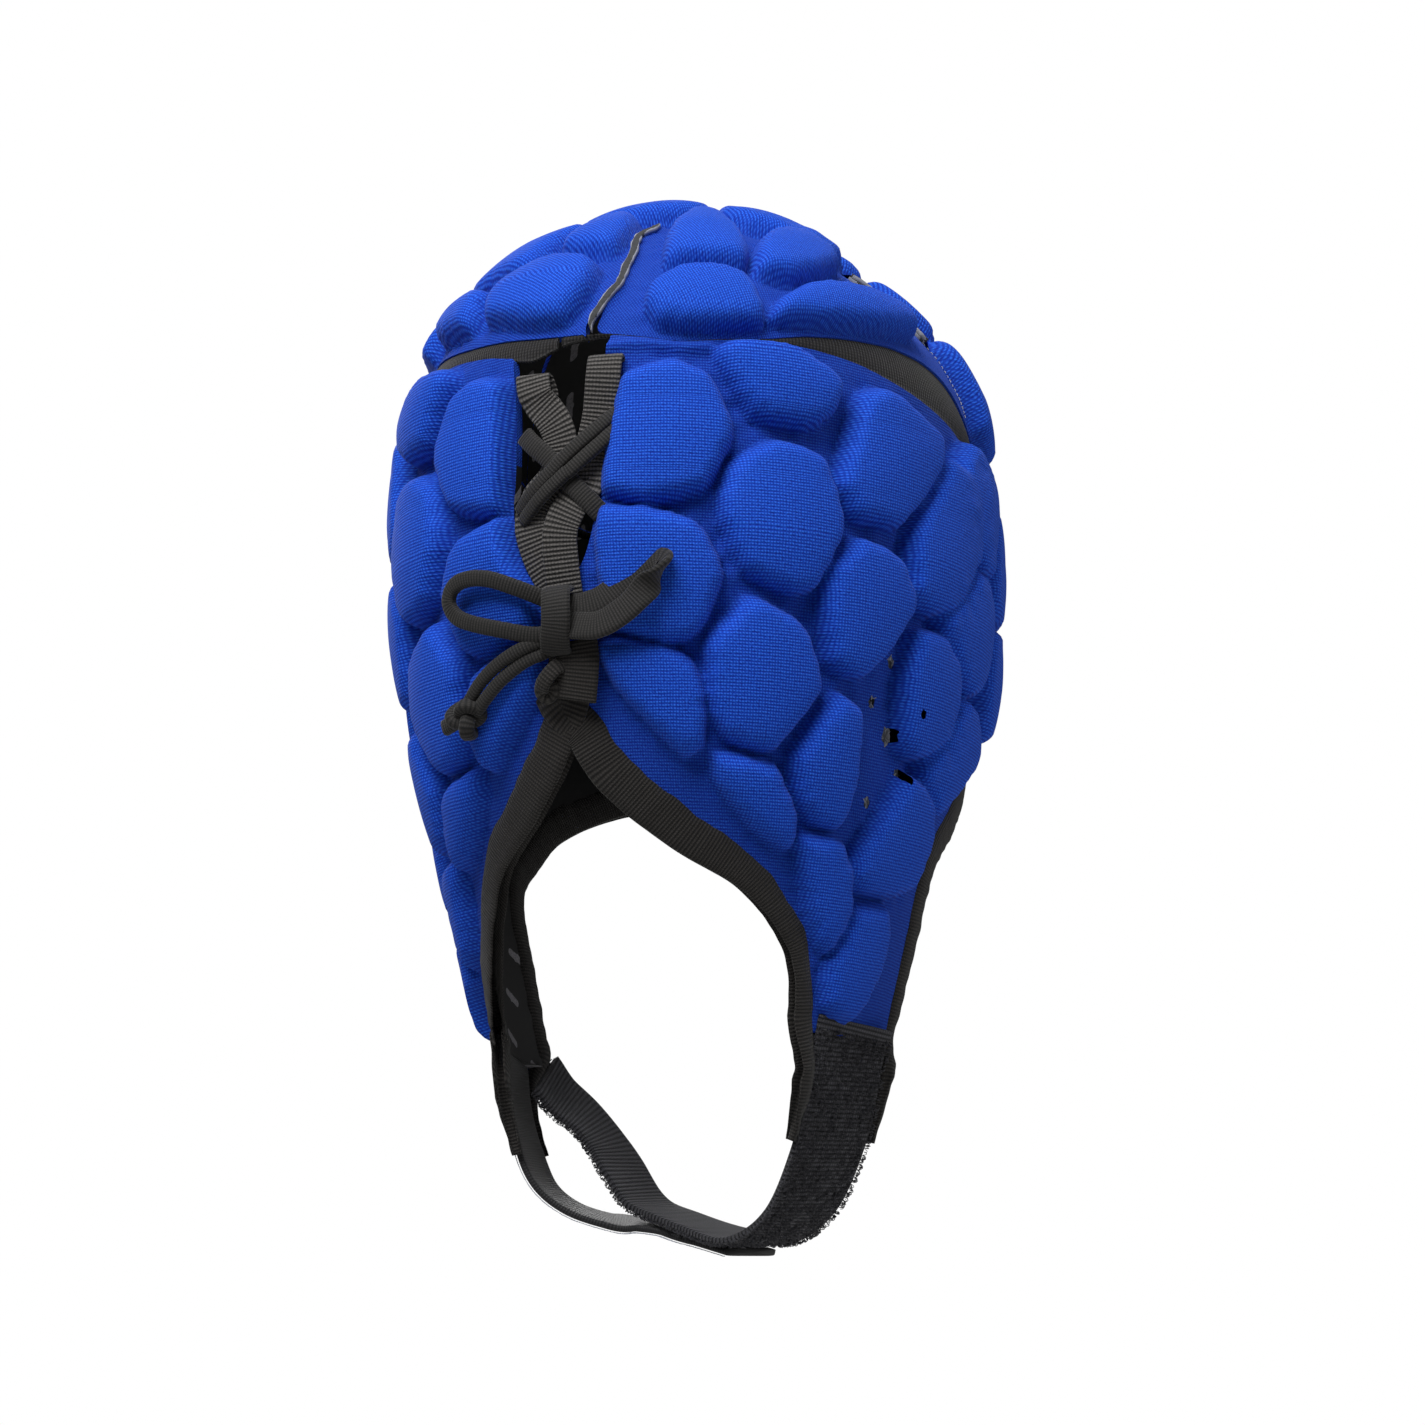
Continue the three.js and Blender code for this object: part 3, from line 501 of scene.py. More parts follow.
def frames(path, outward):
    tangent = np.gradient(path, axis=0)
    tangent /= np.linalg.norm(tangent, axis=1)[:, None]
    out = outward - tangent * np.sum(tangent * outward, 1)[:, None]
    out /= np.linalg.norm(out, axis=1)[:, None]
    return np.cross(tangent, out), out


def heldFrames(path, hint):
    # for folds: the tape keeps its own width direction while it turns over
    tangent = np.gradient(path, axis=0)
    tangent /= np.linalg.norm(tangent, axis=1)[:, None]
    across = hint - tangent * np.sum(tangent * hint, 1)[:, None]
    across /= np.linalg.norm(across, axis=1)[:, None]
    return across, np.cross(across, tangent)


def joinPieces(first, others):
    with bpy.context.temp_override(active_object=first, selected_editable_objects=[first, *others]):
        bpy.ops.object.join()
    return first


def roundedSection(width, thick, count, corner):
    turn = np.linspace(0, 2 * math.pi, count, endpoint=False)
    return np.stack([np.sign(way) * np.abs(way) ** corner * size / 2
                     for way, size in ((np.cos(turn), width), (np.sin(turn), thick))], 1)


def insideOutline(points, outline):
    inside = np.zeros(len(points), bool)
    ahead = np.roll(outline, -1, 0)
    for (x0, y0), (x1, y1) in zip(outline, ahead):
        crosses = (y0 > points[:, 1]) != (y1 > points[:, 1])
        if y0 != y1:
            at = x0 + (points[:, 1] - y0) * (x1 - x0) / (y1 - y0)
            inside ^= crosses & (points[:, 0] < at)
    return inside


def awayFromLine(points, line):
    best = np.full(len(points), 1e9)
    for a, b in zip(line, np.roll(line, -1, 0)):
        edge = b - a
        t = np.clip(((points - a) @ edge) / max(edge @ edge, 1e-9), 0, 1)
        best = np.minimum(best, np.linalg.norm(points - a - t[:, None] * edge, axis=1))
    return best


def evenLine(line, pitch, closed=True):
    line = np.asarray(line, float)
    if closed:
        line = np.vstack([line, line[:1]])
    along = np.concatenate([[0], np.cumsum(np.linalg.norm(np.diff(line, axis=0), axis=1))])
    count = max(4, int(round(along[-1] / pitch)))
    wanted = np.linspace(0, along[-1], count, endpoint=not closed)
    return np.stack([np.interp(wanted, along, line[:, i]) for i in (0, 1)], 1)


def cutSheet(outline, holes, pitch, holePitch=0.6, clear=0.6):
    # triangles on a staggered grid inside an outline, with holes; the rim points come first
    loops = [evenLine(outline, pitch)] + [evenLine(hole, min(pitch, holePitch)) for hole in holes]
    low, high = loops[0].min(0), loops[0].max(0)
    rise = pitch * math.sqrt(3) / 2
    grid = []
    for row, y in enumerate(np.arange(low[1], high[1], rise)):
        x = np.arange(low[0] + (row % 2) * pitch / 2, high[0], pitch)
        grid.append(np.stack([x, np.full(len(x), y)], 1))
    grid = np.vstack(grid)
    grid = grid[insideOutline(grid, loops[0])]
    for loop in loops:
        grid = grid[awayFromLine(grid, loop) > clear * pitch]
    for hole in loops[1:]:
        grid = grid[~insideOutline(grid, hole)]
    points = np.vstack(loops + [grid])
    edges, rims, start = [], [], 0
    for loop in loops:
        ring = list(range(start, start + len(loop)))
        rims.append(ring)
        edges += list(zip(ring, ring[1:] + ring[:1]))
        start += len(loop)
    found, _, faces, *_ = delaunay_2d_cdt([Vector(p) for p in points], edges, [], 0, 1e-6)
    faces = np.array(faces)
    found = np.array([tuple(p) for p in found])
    middle = found[faces].mean(1)
    keep = insideOutline(middle, loops[0])
    for hole in loops[1:]:
        keep &= ~insideOutline(middle, hole)
    return found, faces[keep], rims


# Pads

pads = {
    "height": 8.4, "shoulder": 4.6, "crown": 0.28, "valley": 1.6, "corner": 0.8, "skew": 7.0,
    "pucker": 0.5, "grow": 1.5, "mesh": 1.15, "reach": 36, "largest": 21, "apart": 46,
    "byHeight": [(-90, .75), (-50, .82), (-10, 1), (150, 1)],
}

# Corners of the right side pads that the photo shows: degrees round the head from the front, height
shownPads = [
    [(166, 82), (156.5, 87), (149, 82), (145, 67), (150, 51), (161, 46), (169.5, 50), (167.5, 72)],
    [(148, 89), (146, 93), (134.5, 94), (123.5, 86), (124.5, 77.5), (130.5, 71), (141, 72)],
    [(118.5, 84), (113, 87), (97.5, 78), (99, 68), (111, 47.5), (121.5, 47.5), (125, 56)],
    [(96, 73), (82, 73), (84, 49), (94.5, 29.5), (101.5, 26), (107.5, 29.5), (108, 46)],
    [(136.5, 66), (128, 63), (123.5, 45), (129.5, 26), (134, 24), (143, 29), (147.5, 44.5), (145, 59)],
    [(171, 45), (158.5, 44.5), (151, 40), (147, 28), (151.5, 12), (156.5, 8.5), (169, 14)],
    [(120.5, 42), (110.5, 39), (106.5, 27), (111.5, 14), (118.5, 4), (125, 6), (127.5, 17), (127, 31)],
    [(142, 22), (131.5, 16), (127, 0), (137, -18.5), (146, -16), (149.5, -9), (150, 9)],
    [(105.5, 20.5), (97, 22), (89.5, 11.5), (91.5, -6), (101, -14), (106, -12), (108, 5.5)],
    [(123.5, -1), (118, -4), (117.5, -27.5), (120.5, -36.5), (127, -36), (131, -30), (132.5, -20),
     (127.5, -8)],
    [(148.5, -20), (136, -22), (130.5, -36.5), (132, -43), (139, -40), (149, -26)],
    [(171, 9), (163, 9.5), (153.5, 5), (150.5, -3), (151, -18), (154.5, -21), (162, -12), (169, -1)],
    [(103, -18.5), (95, -21.5), (90, -33.5), (94, -48.5), (106, -53), (115, -51.5), (116, -44)],
    [(130, -40), (119.5, -39.5), (115.5, -48), (114.5, -61), (120, -70), (124, -65)],
    [(113, -57), (102.5, -55), (99.5, -66), (102.5, -79), (107.5, -87), (117, -85), (119, -75.5)],
]
# Middles of the side pads that it hides, and of the crown pads
hiddenPads = [(80, 64), (64, 51), (87, 27.5), (63, 20), (87, -11), (40, 64), (38, 34), (15, 60), (14, 31)]
crownPads = [(13, .56), (40, .57), (61, .6), (245, .66), (296, .6), (320, .57), (347, .56), (55, .8),
             (20, .8), (212, .82), (241, .84), (305, .8), (340, .8), (100, .955), (257, .95), (310, .936),
             (0, .936), (50, .936), (200, .985)]
shownCrownPads = [
    [(161, 110.5), (151, 115.8), (140.5, 112.8), (139, 106.8), (138.5, 99), (151, 96), (159.5, 97.5),
     (162, 103)],
    [(160, 121.8), (160.5, 134), (155.5, 143), (143.5, 143), (139, 134.5), (138.5, 124), (141, 118.8),
     (159, 118)],
    [(136.5, 101), (135, 107), (129.5, 112.7), (119, 117), (106.5, 118), (97, 116), (96, 110),
     (108.5, 106), (126, 102)],
    [(137.5, 117), (136, 127), (131, 133), (118.5, 139), (104.5, 139), (107, 129), (119, 121.5),
     (130.5, 116)],
    [(200.5, 104.5), (202, 113), (196, 119.8), (190, 122), (180.5, 121), (175.5, 118), (174.5, 111),
     (176, 105), (178.5, 100), (187, 100)],
    [(192, 127), (194, 134), (191, 141), (184.5, 143), (173.5, 136.8), (172.5, 130), (174, 124),
     (183, 124.5)],
    [(222, 106), (226, 111), (222, 117), (213, 118), (205.5, 114.5), (204.5, 108), (205, 104),
     (213.5, 104.5)],
]


def otherSide(degrees):
    fromBack = 180 - degrees
    return 180 + fromBack - pads["skew"] * (1 - fromBack / 180)


def tangentFrame(away):
    across = np.cross([0, 0, 1.0], away) if abs(away[2]) < 0.999 else np.array([1.0, 0, 0])
    across /= np.linalg.norm(across)
    return across, np.cross(away, across)


def placeAt(degrees, z):
    if z > 105:
        place, away = onChart(crownChart, crownFlat(np.radians([degrees]), np.array([z])))
    else:
        place, away = onChart(sideChart, [(math.radians(degrees) * roundScale, z)])
    return place[0], away[0]


def padTable():
    table = []
    for side in ("right", "left"):
        turn = (lambda d: d) if side == "right" else otherSide
        for corners in shownPads:
            spots = np.array([placeAt(turn(d), z)[0] for d, z in corners])
            middle = np.array([turn(np.mean([d for d, _ in corners])), np.mean([z for _, z in corners])])
            table.append({"side": side, "site": placeAt(*middle), "corners": spots})
        for d, z in hiddenPads:
            table.append({"side": side, "site": placeAt(turn(d), z), "corners": None})
    for corners in shownCrownPads:
        spots = np.array([placeAt(d, z)[0] for d, z in corners])
        middle = (np.mean([d for d, _ in corners]), np.mean([z for _, z in corners]))
        table.append({"side": "crown", "site": placeAt(*middle), "corners": spots})
    for d, rise in crownPads:
        z = shell["wideLevel"] + rise * shell["crownRise"]
        table.append({"side": "crown", "site": placeAt(d, min(z, 149.99)), "corners": None})
    return table


def clipOutline(outline, toward, distance):
    kept = []
    for a, b in zip(outline, np.roll(outline, -1, 0)):
        da, db = a @ toward - distance, b @ toward - distance
        if da <= 0:
            kept.append(a)
        if da * db < 0:
            kept.append(a + (b - a) * da / (da - db))
    return np.array(kept)


def padOutline(pad, table, edges):
    place, away = pad["site"]
    across, upward = tangentFrame(away)
    if pad["corners"] is not None:
        offset = pad["corners"] - place
        return np.stack([offset @ across, offset @ upward], 1)
    turn = np.linspace(0, 2 * math.pi, 10, endpoint=False)
    outline = np.stack([np.cos(turn), np.sin(turn)], 1) * pads["largest"]
    for other in table:
        offset = other["site"][0] - place
        distance = np.linalg.norm(offset)
        if 1 < distance < pads["apart"]:
            toward = np.array([offset @ across, offset @ upward])
            outline = clipOutline(outline, toward / np.linalg.norm(toward), (distance - pads["valley"]) / 2)
    for line, margin in edges:
        nearest = line[np.argmin(np.linalg.norm(line - place, axis=1))]
        offset = nearest - place
        toward = np.array([offset @ across, offset @ upward])
        size = np.linalg.norm(toward)
        outline = clipOutline(outline, toward / size, max(5.0, size - margin))
    return outline


def padRise(points, away, table, edges):
    # how far each point rises, 0 in a valley to about 1 on a pad, and the fine folds at the pads' feet
    rise, fold = np.zeros(len(points)), np.zeros(len(points))
    for number, pad in enumerate(table):
        place, out = pad["site"]
        close = np.linalg.norm(points - place, axis=1) < pads["reach"]
        near = np.where(close & (away @ out > 0.2))[0]
        if len(near) == 0:
            continue
        across, upward = tangentFrame(out)
        offset = points[near] - place
        flat = np.stack([offset @ across, offset @ upward], 1)
        outline = padOutline(pad, table, edges)
        middle = outline.mean(0)
        gaps = []
        for a, b in zip(outline, np.roll(outline, -1, 0)):
            normal = np.array([b[1] - a[1], a[0] - b[0]])
            size = np.linalg.norm(normal)
            if size < 0.5:
                continue
            normal /= size
            if normal @ (middle - a) > 0:
                normal = -normal
            gaps.append((flat - a) @ normal)
        gaps = np.array(gaps)
        k = pads["corner"]
        outside = np.log(np.exp(np.clip(k * gaps, -60, 60)).sum(0)) / k - pads["grow"]
        t = np.clip(-outside / pads["shoulder"], 0, 1)
        wall = (1 - (1 - t) ** 2.2) ** (1 / 1.6)
        dome = 1 - np.exp(-np.clip(-outside, 0, None) / 7.0)
        rise[near] = np.maximum(rise[near], wall * (1 - pads["crown"]) + dome * pads["crown"])
        angle = np.arctan2(flat[:, 1] - middle[1], flat[:, 0] - middle[0])
        ripple = np.sin(angle * 11 + number) * np.sin(angle * 5 + 2.3 * number)
        fold[near] += ripple * np.exp(-(outside / 3.5) ** 2) * (outside > -4)
    return rise, fold


def raisePadsTree():
    tree = bpy.data.node_groups.new("raisePads", "GeometryNodeTree")
    tree.is_modifier = True
    face = tree.interface
    face.new_socket("Sheet", in_out="INPUT", socket_type="NodeSocketGeometry")
    face.new_socket("Pad Height", in_out="INPUT", socket_type="NodeSocketFloat")
    face.new_socket("Pucker Height", in_out="INPUT", socket_type="NodeSocketFloat")
    for label in ("Outer", "Lining", "Cut Edge"):
        face.new_socket(label, in_out="INPUT", socket_type="NodeSocketMaterial")
    face.new_socket("Panel", in_out="OUTPUT", socket_type="NodeSocketGeometry")
    start = addNode(tree, "NodeGroupInput")
    reads = {}
    for label, kind in (("padRise", "FLOAT"), ("pucker", "FLOAT"), ("away", "FLOAT_VECTOR"), ("part", "INT")):
        read = addNode(tree, "GeometryNodeInputNamedAttribute", {"Name": label}, data_type=kind)
        reads[label] = read.outputs[0]
    lift = addNode(tree, "ShaderNodeMath", {0: reads["padRise"], 1: start.outputs["Pad Height"]},
                   operation="MULTIPLY")
    folds = addNode(tree, "ShaderNodeMath", {0: reads["pucker"], 1: start.outputs["Pucker Height"],
                                             2: lift.outputs[0]}, operation="MULTIPLY_ADD")
    offset = addNode(tree, "ShaderNodeVectorMath", {0: reads["away"], "Scale": folds.outputs[0]},
                     operation="SCALE")
    raised = addNode(tree, "GeometryNodeSetPosition",
                     {"Geometry": start.outputs["Sheet"], "Offset": offset.outputs[0]})
    last = addNode(tree, "GeometryNodeRealizeInstances", {"Geometry": raised.outputs[0]}).outputs[0]
    for number, label in enumerate(("Outer", "Lining", "Cut Edge")):
        chosen = addNode(tree, "FunctionNodeCompare", {2: reads["part"], 3: number}, data_type="INT",
                         operation="EQUAL")
        last = addNode(tree, "GeometryNodeSetMaterial", {"Geometry": last, "Selection": chosen.outputs[0],
                                                         "Material": start.outputs[label]}).outputs[0]
    addNode(tree, "NodeGroupOutput", {"Panel": last})
    return tree


raisePads = raisePadsTree()


def runTree(piece, tree, values, spent):
    # sets the named inputs, turns the result into a plain mesh and drops the attributes it used up
    modifier = piece.modifiers.new(tree.name, "NODES")
    modifier.node_group = tree
    for item in tree.interface.items_tree:
        if item.item_type == "SOCKET" and item.in_out == "INPUT" and item.name in values:
            modifier[item.identifier] = values[item.name]
    piece.update_tag()
    shown = piece.evaluated_get(bpy.context.evaluated_depsgraph_get())
    mesh = bpy.data.meshes.new_from_object(shown)
    piece.modifiers.clear()
    old = piece.data
    piece.data = mesh
    bpy.data.meshes.remove(old)
    mesh.name = piece.name
    for label in spent:
        layer = mesh.attributes.get(label)
        if layer:
            mesh.attributes.remove(layer)


def awayInSpace(points, line):
    best = np.full(len(points), 1e9)
    for spot in line:
        best = np.minimum(best, np.linalg.norm(points - spot, axis=1))
    return best


def paddedPanel(name, chart, outline, holes, table, edges, lips=(), turned=0.0):
    flat, faces, rims = cutSheet(outline, holes, pads["mesh"])
    place, away = onChart(chart, flat)
    rise, fold = padRise(place, away, table, edges)
    rise *= np.interp(place[:, 2], *np.array(pads["byHeight"]).T)
    fade = np.clip(awayFromLine(flat, flat[rims[0]]) / 3.0, 0, 1)
    lip = np.zeros(len(flat))
    for line, height, width in lips:
        lip += height / pads["height"] * np.exp(-(awayInSpace(place, line) / width) ** 2)
    count = len(flat)
    a, b, c = [place[faces[:, i]] for i in range(3)]
    if np.sum(np.cross(b - a, c - a) * away[faces[:, 0]]) < 0:
        faces = faces[:, ::-1]
    points = np.vstack([place, place - away * shell["wall"]])
    allFaces = [tuple(face) for face in faces] + [tuple(face[::-1] + count) for face in faces]
    parts = [0] * len(faces) + [1] * len(faces)
    directed = {(int(f[i]), int(f[(i + 1) % 3])) for f in faces for i in range(3)}
    cutStart = len(points)
    # the cut edge has points of its own, so that its shading stays crisp
    ringPoints, ringUv = [], []
    for number, rim in enumerate(rims):
        ring = rim if (rim[0], rim[1]) in directed else rim[::-1]
        base = cutStart + len(ringPoints)
        size = len(ring)
        for level in (0.0, -shell["wall"]):
            for i in ring:
                ringPoints.append(place[i] + away[i] * level)
                ringUv.append(flat[i] + [level, level])
        for i in range(size):
            j = (i + 1) % size
            allFaces.append((base + j, base + i, base + size + i, base + size + j))
            parts.append(2 if number else 0 if place[ring[i]][2] > 60 else 1)
    points = np.vstack([points, ringPoints])
    uv = np.vstack([flat, flat, ringUv])
    c, s = math.cos(turned), math.sin(turned)
    uv[:2 * count] = uv[:2 * count] @ np.array([[c, s], [-s, c]])
    piece = finishPiece(name, points, allFaces, uv, [])
    mesh = piece.data
    extra = len(points) - count
    for label, kind, values in (("padRise", "FLOAT", np.concatenate([rise * fade + lip, np.zeros(extra)])),
                                ("pucker", "FLOAT", np.concatenate([fold * fade, np.zeros(extra)]))):
        mesh.attributes.new(label, kind, "POINT").data.foreach_set("value", values.astype(np.float32))
    outward = np.vstack([away, np.zeros((extra, 3))]).astype(np.float32)
    mesh.attributes.new("away", "FLOAT_VECTOR", "POINT").data.foreach_set("vector", outward.ravel())
    mesh.attributes.new("part", "INT", "FACE").data.foreach_set("value", np.array(parts, np.int32))
    runTree(piece, raisePads, {"Pad Height": pads["height"] * mm, "Pucker Height": pads["pucker"] * mm,
                               "Outer": finishes["knit"], "Lining": finishes["lining"],
                               "Cut Edge": finishes["foam"]}, ("pucker", "away", "part"))
    return piece


# Lines round the shell: degrees from the front of the head over the wearer's right, and height

crownHem = [(0, 77.5), (50, 80.5), (60, 83), (68, 87), (74, 93), (80, 98), (88, 102), (95, 103.5),
            (106, 103.5), (118.5, 101.5), (129, 99.2), (137, 96.4), (146, 95), (155, 93.4), (163, 95),
            (170, 96.2), (180, 96.4), (186, 96.9), (193, 98), (207, 99.5), (228, 103), (245, 104.5),
            (256, 104), (265, 102.5), (272, 102), (280, 98), (286, 93), (292, 87), (300, 83), (310, 80),
            (330, 78), (360, 77.5)]
panelTop = [(0, 77.1), (50, 79.2), (60, 79), (68, 79.5), (74, 81), (80, 83), (88, 86), (95, 88), (106, 91),
            (117, 94), (127, 95.3), (137, 95.6), (146, 94.7), (155, 93.1), (163, 94.7), (170, 95.9),
            (178, 95), (186, 90.5), (193, 92.5), (198, 94), (210, 96), (228, 97), (240, 96), (254, 92),
            (265, 88), (272, 86), (280, 83), (286, 81), (292, 79.5), (300, 79), (310, 78.9), (330, 77.6),
            (360, 77.1)]
faceLine = [(0, 9), (20, 8), (40, 4.2), (54.3, -2), (68.6, -12.7), (76.3, -23), (83.5, -34), (85.8, -45.5),
            (85.8, -60.5), (85.8, -81.5), (85.8, -91.5)]
napeLine = {
    "right": [(178.85, 8), (178.85, 2), (178, -4), (172.8, -11), (169.5, -18.2), (166, -24), (153.5, -37.3),
              (139, -48.5), (126.4, -65), (122.6, -74.8), (121, -84), (120, -91.5)],
    "left": [(181.15, 8), (181.15, 1), (182, -5), (186, -13.5), (189.5, -19.5), (198, -29.5), (211, -41),
             (221, -54), (229, -64), (237, -72), (244, -80), (247, -91.5)],
}
lacingGap = [(14.4, 97), (13.8, 92.8), (12.2, 75), (11.9, 60), (12.4, 46), (9.5, 34), (3.6, 23), (1.6, 12)]
seamLine = [(71.5, 89), (73.5, 104.5), (74.5, 110.5), (75.5, 113.5), (77, 116.5), (78, 120.2), (80, 123),
            (82.5, 127.8), (85, 130.5), (89.5, 134), (92, 139), (97, 146), (107, 149.4)]
slitLine = [(172.6, 95.8), (172.9, 98.5), (171.5, 103.8), (170, 108.2), (168.5, 112), (168.5, 118),
            (168.5, 124), (170, 130.8), (170, 135.2), (168.5, 137.5), (168, 140.5)]
flapTip = -92.0
frontSeam = 0.15 / 98  # half the gap at the front middle seam, as an angle


def levelAt(line, theta):
    grid = np.arange(-20, 381.0)
    line = np.array(line)
    level = np.interp(grid % 360, line[:, 0], line[:, 1])
    soft = np.convolve(level, np.array([1, 2, 3, 2, 1]) / 9, "same")
    return np.interp(np.degrees(theta) % 360, grid[2:-2], soft[2:-2])


def sideSpots(line, count=120):
    # angles and heights as flat points round the head
    return smoothRoute(np.array(line, float) * [math.pi / 180 * roundScale, 1.0], count)


def otherWay(line):
    return [(360 - d, z) for d, z in line]


def lacingEdge(side):
    gap = smoothRoute(lacingGap, 90)
    turn = np.arcsin(gap[:, 0] / (reachesAt(gap[:, 1])[0] * roundness(gap[:, 1])))
    edge = np.stack([(math.pi - turn if side == "right" else math.pi + turn) * roundScale, gap[:, 1]], 1)
    return edge[edge[:, 1] < levelAt(panelTop, edge[:, 0] / roundScale)]


def flapOutline(side):
    # from the front seam round to the lacing, down the nape edge and back along the face edge
    face = sideSpots(faceLine if side == "right" else otherWay(faceLine))
    nape, lacing = sideSpots(napeLine[side]), lacingEdge(side)
    start = frontSeam if side == "right" else 2 * math.pi - frontSeam
    theta = np.linspace(start, lacing[0, 0] / roundScale, 200)
    top = np.stack([theta * roundScale, levelAt(panelTop, theta)], 1)
    return np.vstack([top, lacing, nape, face[::-1]])


# degrees, height and radius of each hole
earHoles = {"places": [(109, 10.8, 1.5), (113, -1.2, 1.4), (104, -2, 1.1), (108, -9.5, 2.1),
                       (103.5, -19.2, 1.5), (111.5, -28.2, 1.3)]}


def holeLoops(side):
    loops = []
    for number, (d, z, radius) in enumerate(earHoles["places"]):
        turn = d if side == "right" else otherSide(d)
        place = placeAt(turn, z)[0]
        girth = np.hypot(place[0], place[1]) / roundScale
        angle = np.linspace(0, 2 * math.pi, 18, endpoint=False)
        ragged = radius * (1 + 0.16 * np.sin(angle * 5 + number) + 0.1 * np.sin(angle * 8 + 2 * number))
        loops.append(np.stack([math.radians(turn) * roundScale + ragged * 0.75 * np.cos(angle) / girth,
                               z + ragged * 1.25 * np.sin(angle)], 1))
    return loops


table = padTable()


def buildSidePanels():
    for side in ("right", "left"):
        face = sideSpots(faceLine if side == "right" else otherWay(faceLine))
        nape = sideSpots(napeLine[side])
        topTheta = np.linspace(0.01, math.pi - 0.01, 120)
        if side == "left":
            topTheta = 2 * math.pi - topTheta
        topLine = shellAt(topTheta, levelAt(panelTop, topTheta))
        edges = [(topLine, 2.0), (onChart(sideChart, face)[0], 11.0), (onChart(sideChart, nape)[0], 11.0)]
        mine = [pad for pad in table if pad["side"] == side]
        lips = []
        if side == "right":
            ridge = sideSpots([(172, 91.3), (163, 92.4), (155, 91.4), (149, 91.8)], 60)
            lips = [(onChart(sideChart, ridge)[0], 1.7, 1.5)]
        piece = paddedPanel(f"sidePanel_{side}", sideChart, flapOutline(side), holeLoops(side), mine, edges,
                            lips)
        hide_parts(f"side_panel_{side}")
        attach(piece, "root")
        print("side panel", side, len(piece.data.polygons))


crown = {"slitWidth": [2.4, 2.0, 1.0, .6, .5, .5, .5, .5, .45, .3, .1], "ventReach": (116.5, 133.5),
         "ventOpen": 4.0, "clothTurn": 0.6}


def crownSpots(line, count):
    line = np.array(line, float)
    return smoothRoute(crownFlat(np.radians(line[:, 0]), line[:, 1]), count)


def sidewaysOf(flat):
    ahead = np.gradient(flat, axis=0)
    ahead /= np.linalg.norm(ahead, axis=1)[:, None]
    return np.stack([-ahead[:, 1], ahead[:, 0]], 1)


def buildCrown():
    # the cross seam, from the right hem over the top to the left hem
    right = crownSpots(seamLine, 120)
    theta, z = crownChart(right)
    keep = z > levelAt(crownHem, theta) + 0.4
    right, z = right[keep], z[keep]
    low, high = crown["ventReach"]
    opening = crown["ventOpen"] * np.sin(math.pi * np.clip((z - low) / (high - low), 0, 1)) ** 0.7
    left, shut = right[::-1] * [-1, 1], opening[::-1] * 0.4
    seamFlat, gap = np.vstack([right, left]), np.concatenate([opening, shut])
    startAngle = crownChart(right[:1])[0][0]
    slit = crownSpots(slitLine, 60)
    width = np.interp(np.linspace(0, 1, 60), np.linspace(0, 1, 11), crown["slitWidth"])
    side = sidewaysOf(slit) * width[:, None]
    notch = [slit + side, slit - side]
    if crownChart(notch[0])[0][0] % (2 * math.pi) > crownChart(notch[1])[0][0] % (2 * math.pi):
        notch.reverse()
    split = [crownChart(border)[0][0] % (2 * math.pi) for border in notch]
    before = np.linspace(startAngle, split[0], 110)[:-1]
    after = np.linspace(split[1], 2 * math.pi - startAngle, 120)[1:]
    front = np.linspace(-startAngle, startAngle, 160)
    hems = [crownFlat(turn, levelAt(crownHem, turn)) for turn in (before, after, front)]
    rear = np.vstack([hems[0], notch[0], notch[1][::-1], hems[1],
                      (seamFlat + np.stack([gap * 0, gap + 0.15], 1))[::-1]])
    fore = np.vstack([hems[2], seamFlat - [0, 0.15]])
    full = np.linspace(0, 2 * math.pi, 300)
    hem3d = shellAt(full, levelAt(crownHem, full))
    seam3d, _ = onChart(crownChart, evenLine(seamFlat, 3.0, closed=False))
    slit3d, slitAway = onChart(crownChart, slit)
    isOpen = opening > 0.05
    vent3d, ventAway = onChart(crownChart, right[isOpen])
    ventLow3d, ventLowAway = onChart(crownChart, (right + np.stack([opening * 0, opening + 0.4], 1))[isOpen])
    edges = [(hem3d, 2.0), (seam3d, 2.0), (slit3d, 2.0)]
    mine = [pad for pad in table if pad["side"] == "crown"]
    for name, node, outline, lips in (("crownRear", "crown_rear", rear, [(slit3d, 1.5, 1.8)]),
                                      ("crownFront", "crown_front", fore, [(vent3d, 1.6, 2.0)])):
        piece = paddedPanel(name, crownChart, outline, [], mine, edges, lips, crown["clothTurn"])
        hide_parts(node)
        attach(piece, "root")
        print(name, len(piece.data.polygons))
    # the laminate's raw edge stands up along both openings and shows its foam and pale backings
    for name, line, away, lift, stand in (("slitEdge", slit3d, slitAway, 1.7, 2.4),
                                          ("ventEdge", vent3d, ventAway, 1.6, 2.6),
                                          ("ventHem", ventLow3d, ventLowAway, 0.3, 1.0)):
        count = len(line)
        path = smoothRoute(np.hstack([line + away * lift, away]), 2 * count)
        across, out = frames(path[:, :3], path[:, 3:])
        sections = []
        for i, t in enumerate(np.linspace(0, 1, 2 * count)):
            ragged = 1 + 0.16 * noise.noise((i * 0.35, lift, 0))
            end = min(1, 12 * t + 0.1, 12 * (1 - t) + 0.1)
            shape = roundedSection(stand * ragged * end, 1.4, 12, 0.5)
            shape[:, 0] += 0.5 * noise.noise((i * 0.16, lift, 3))
            sections.append(shape)
        piece = sweepSection(name, path[:, :3], across, out, np.array(sections), "foam", cutEdge=True)
        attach(piece, "root")


buildSidePanels()
buildCrown()


# Trim

band = {"lift": [-0.7, -0.35, -0.15, -0.05, -0.05, -0.15, -0.35, -0.7], "overlap": 0.3, "thick": 1.2}


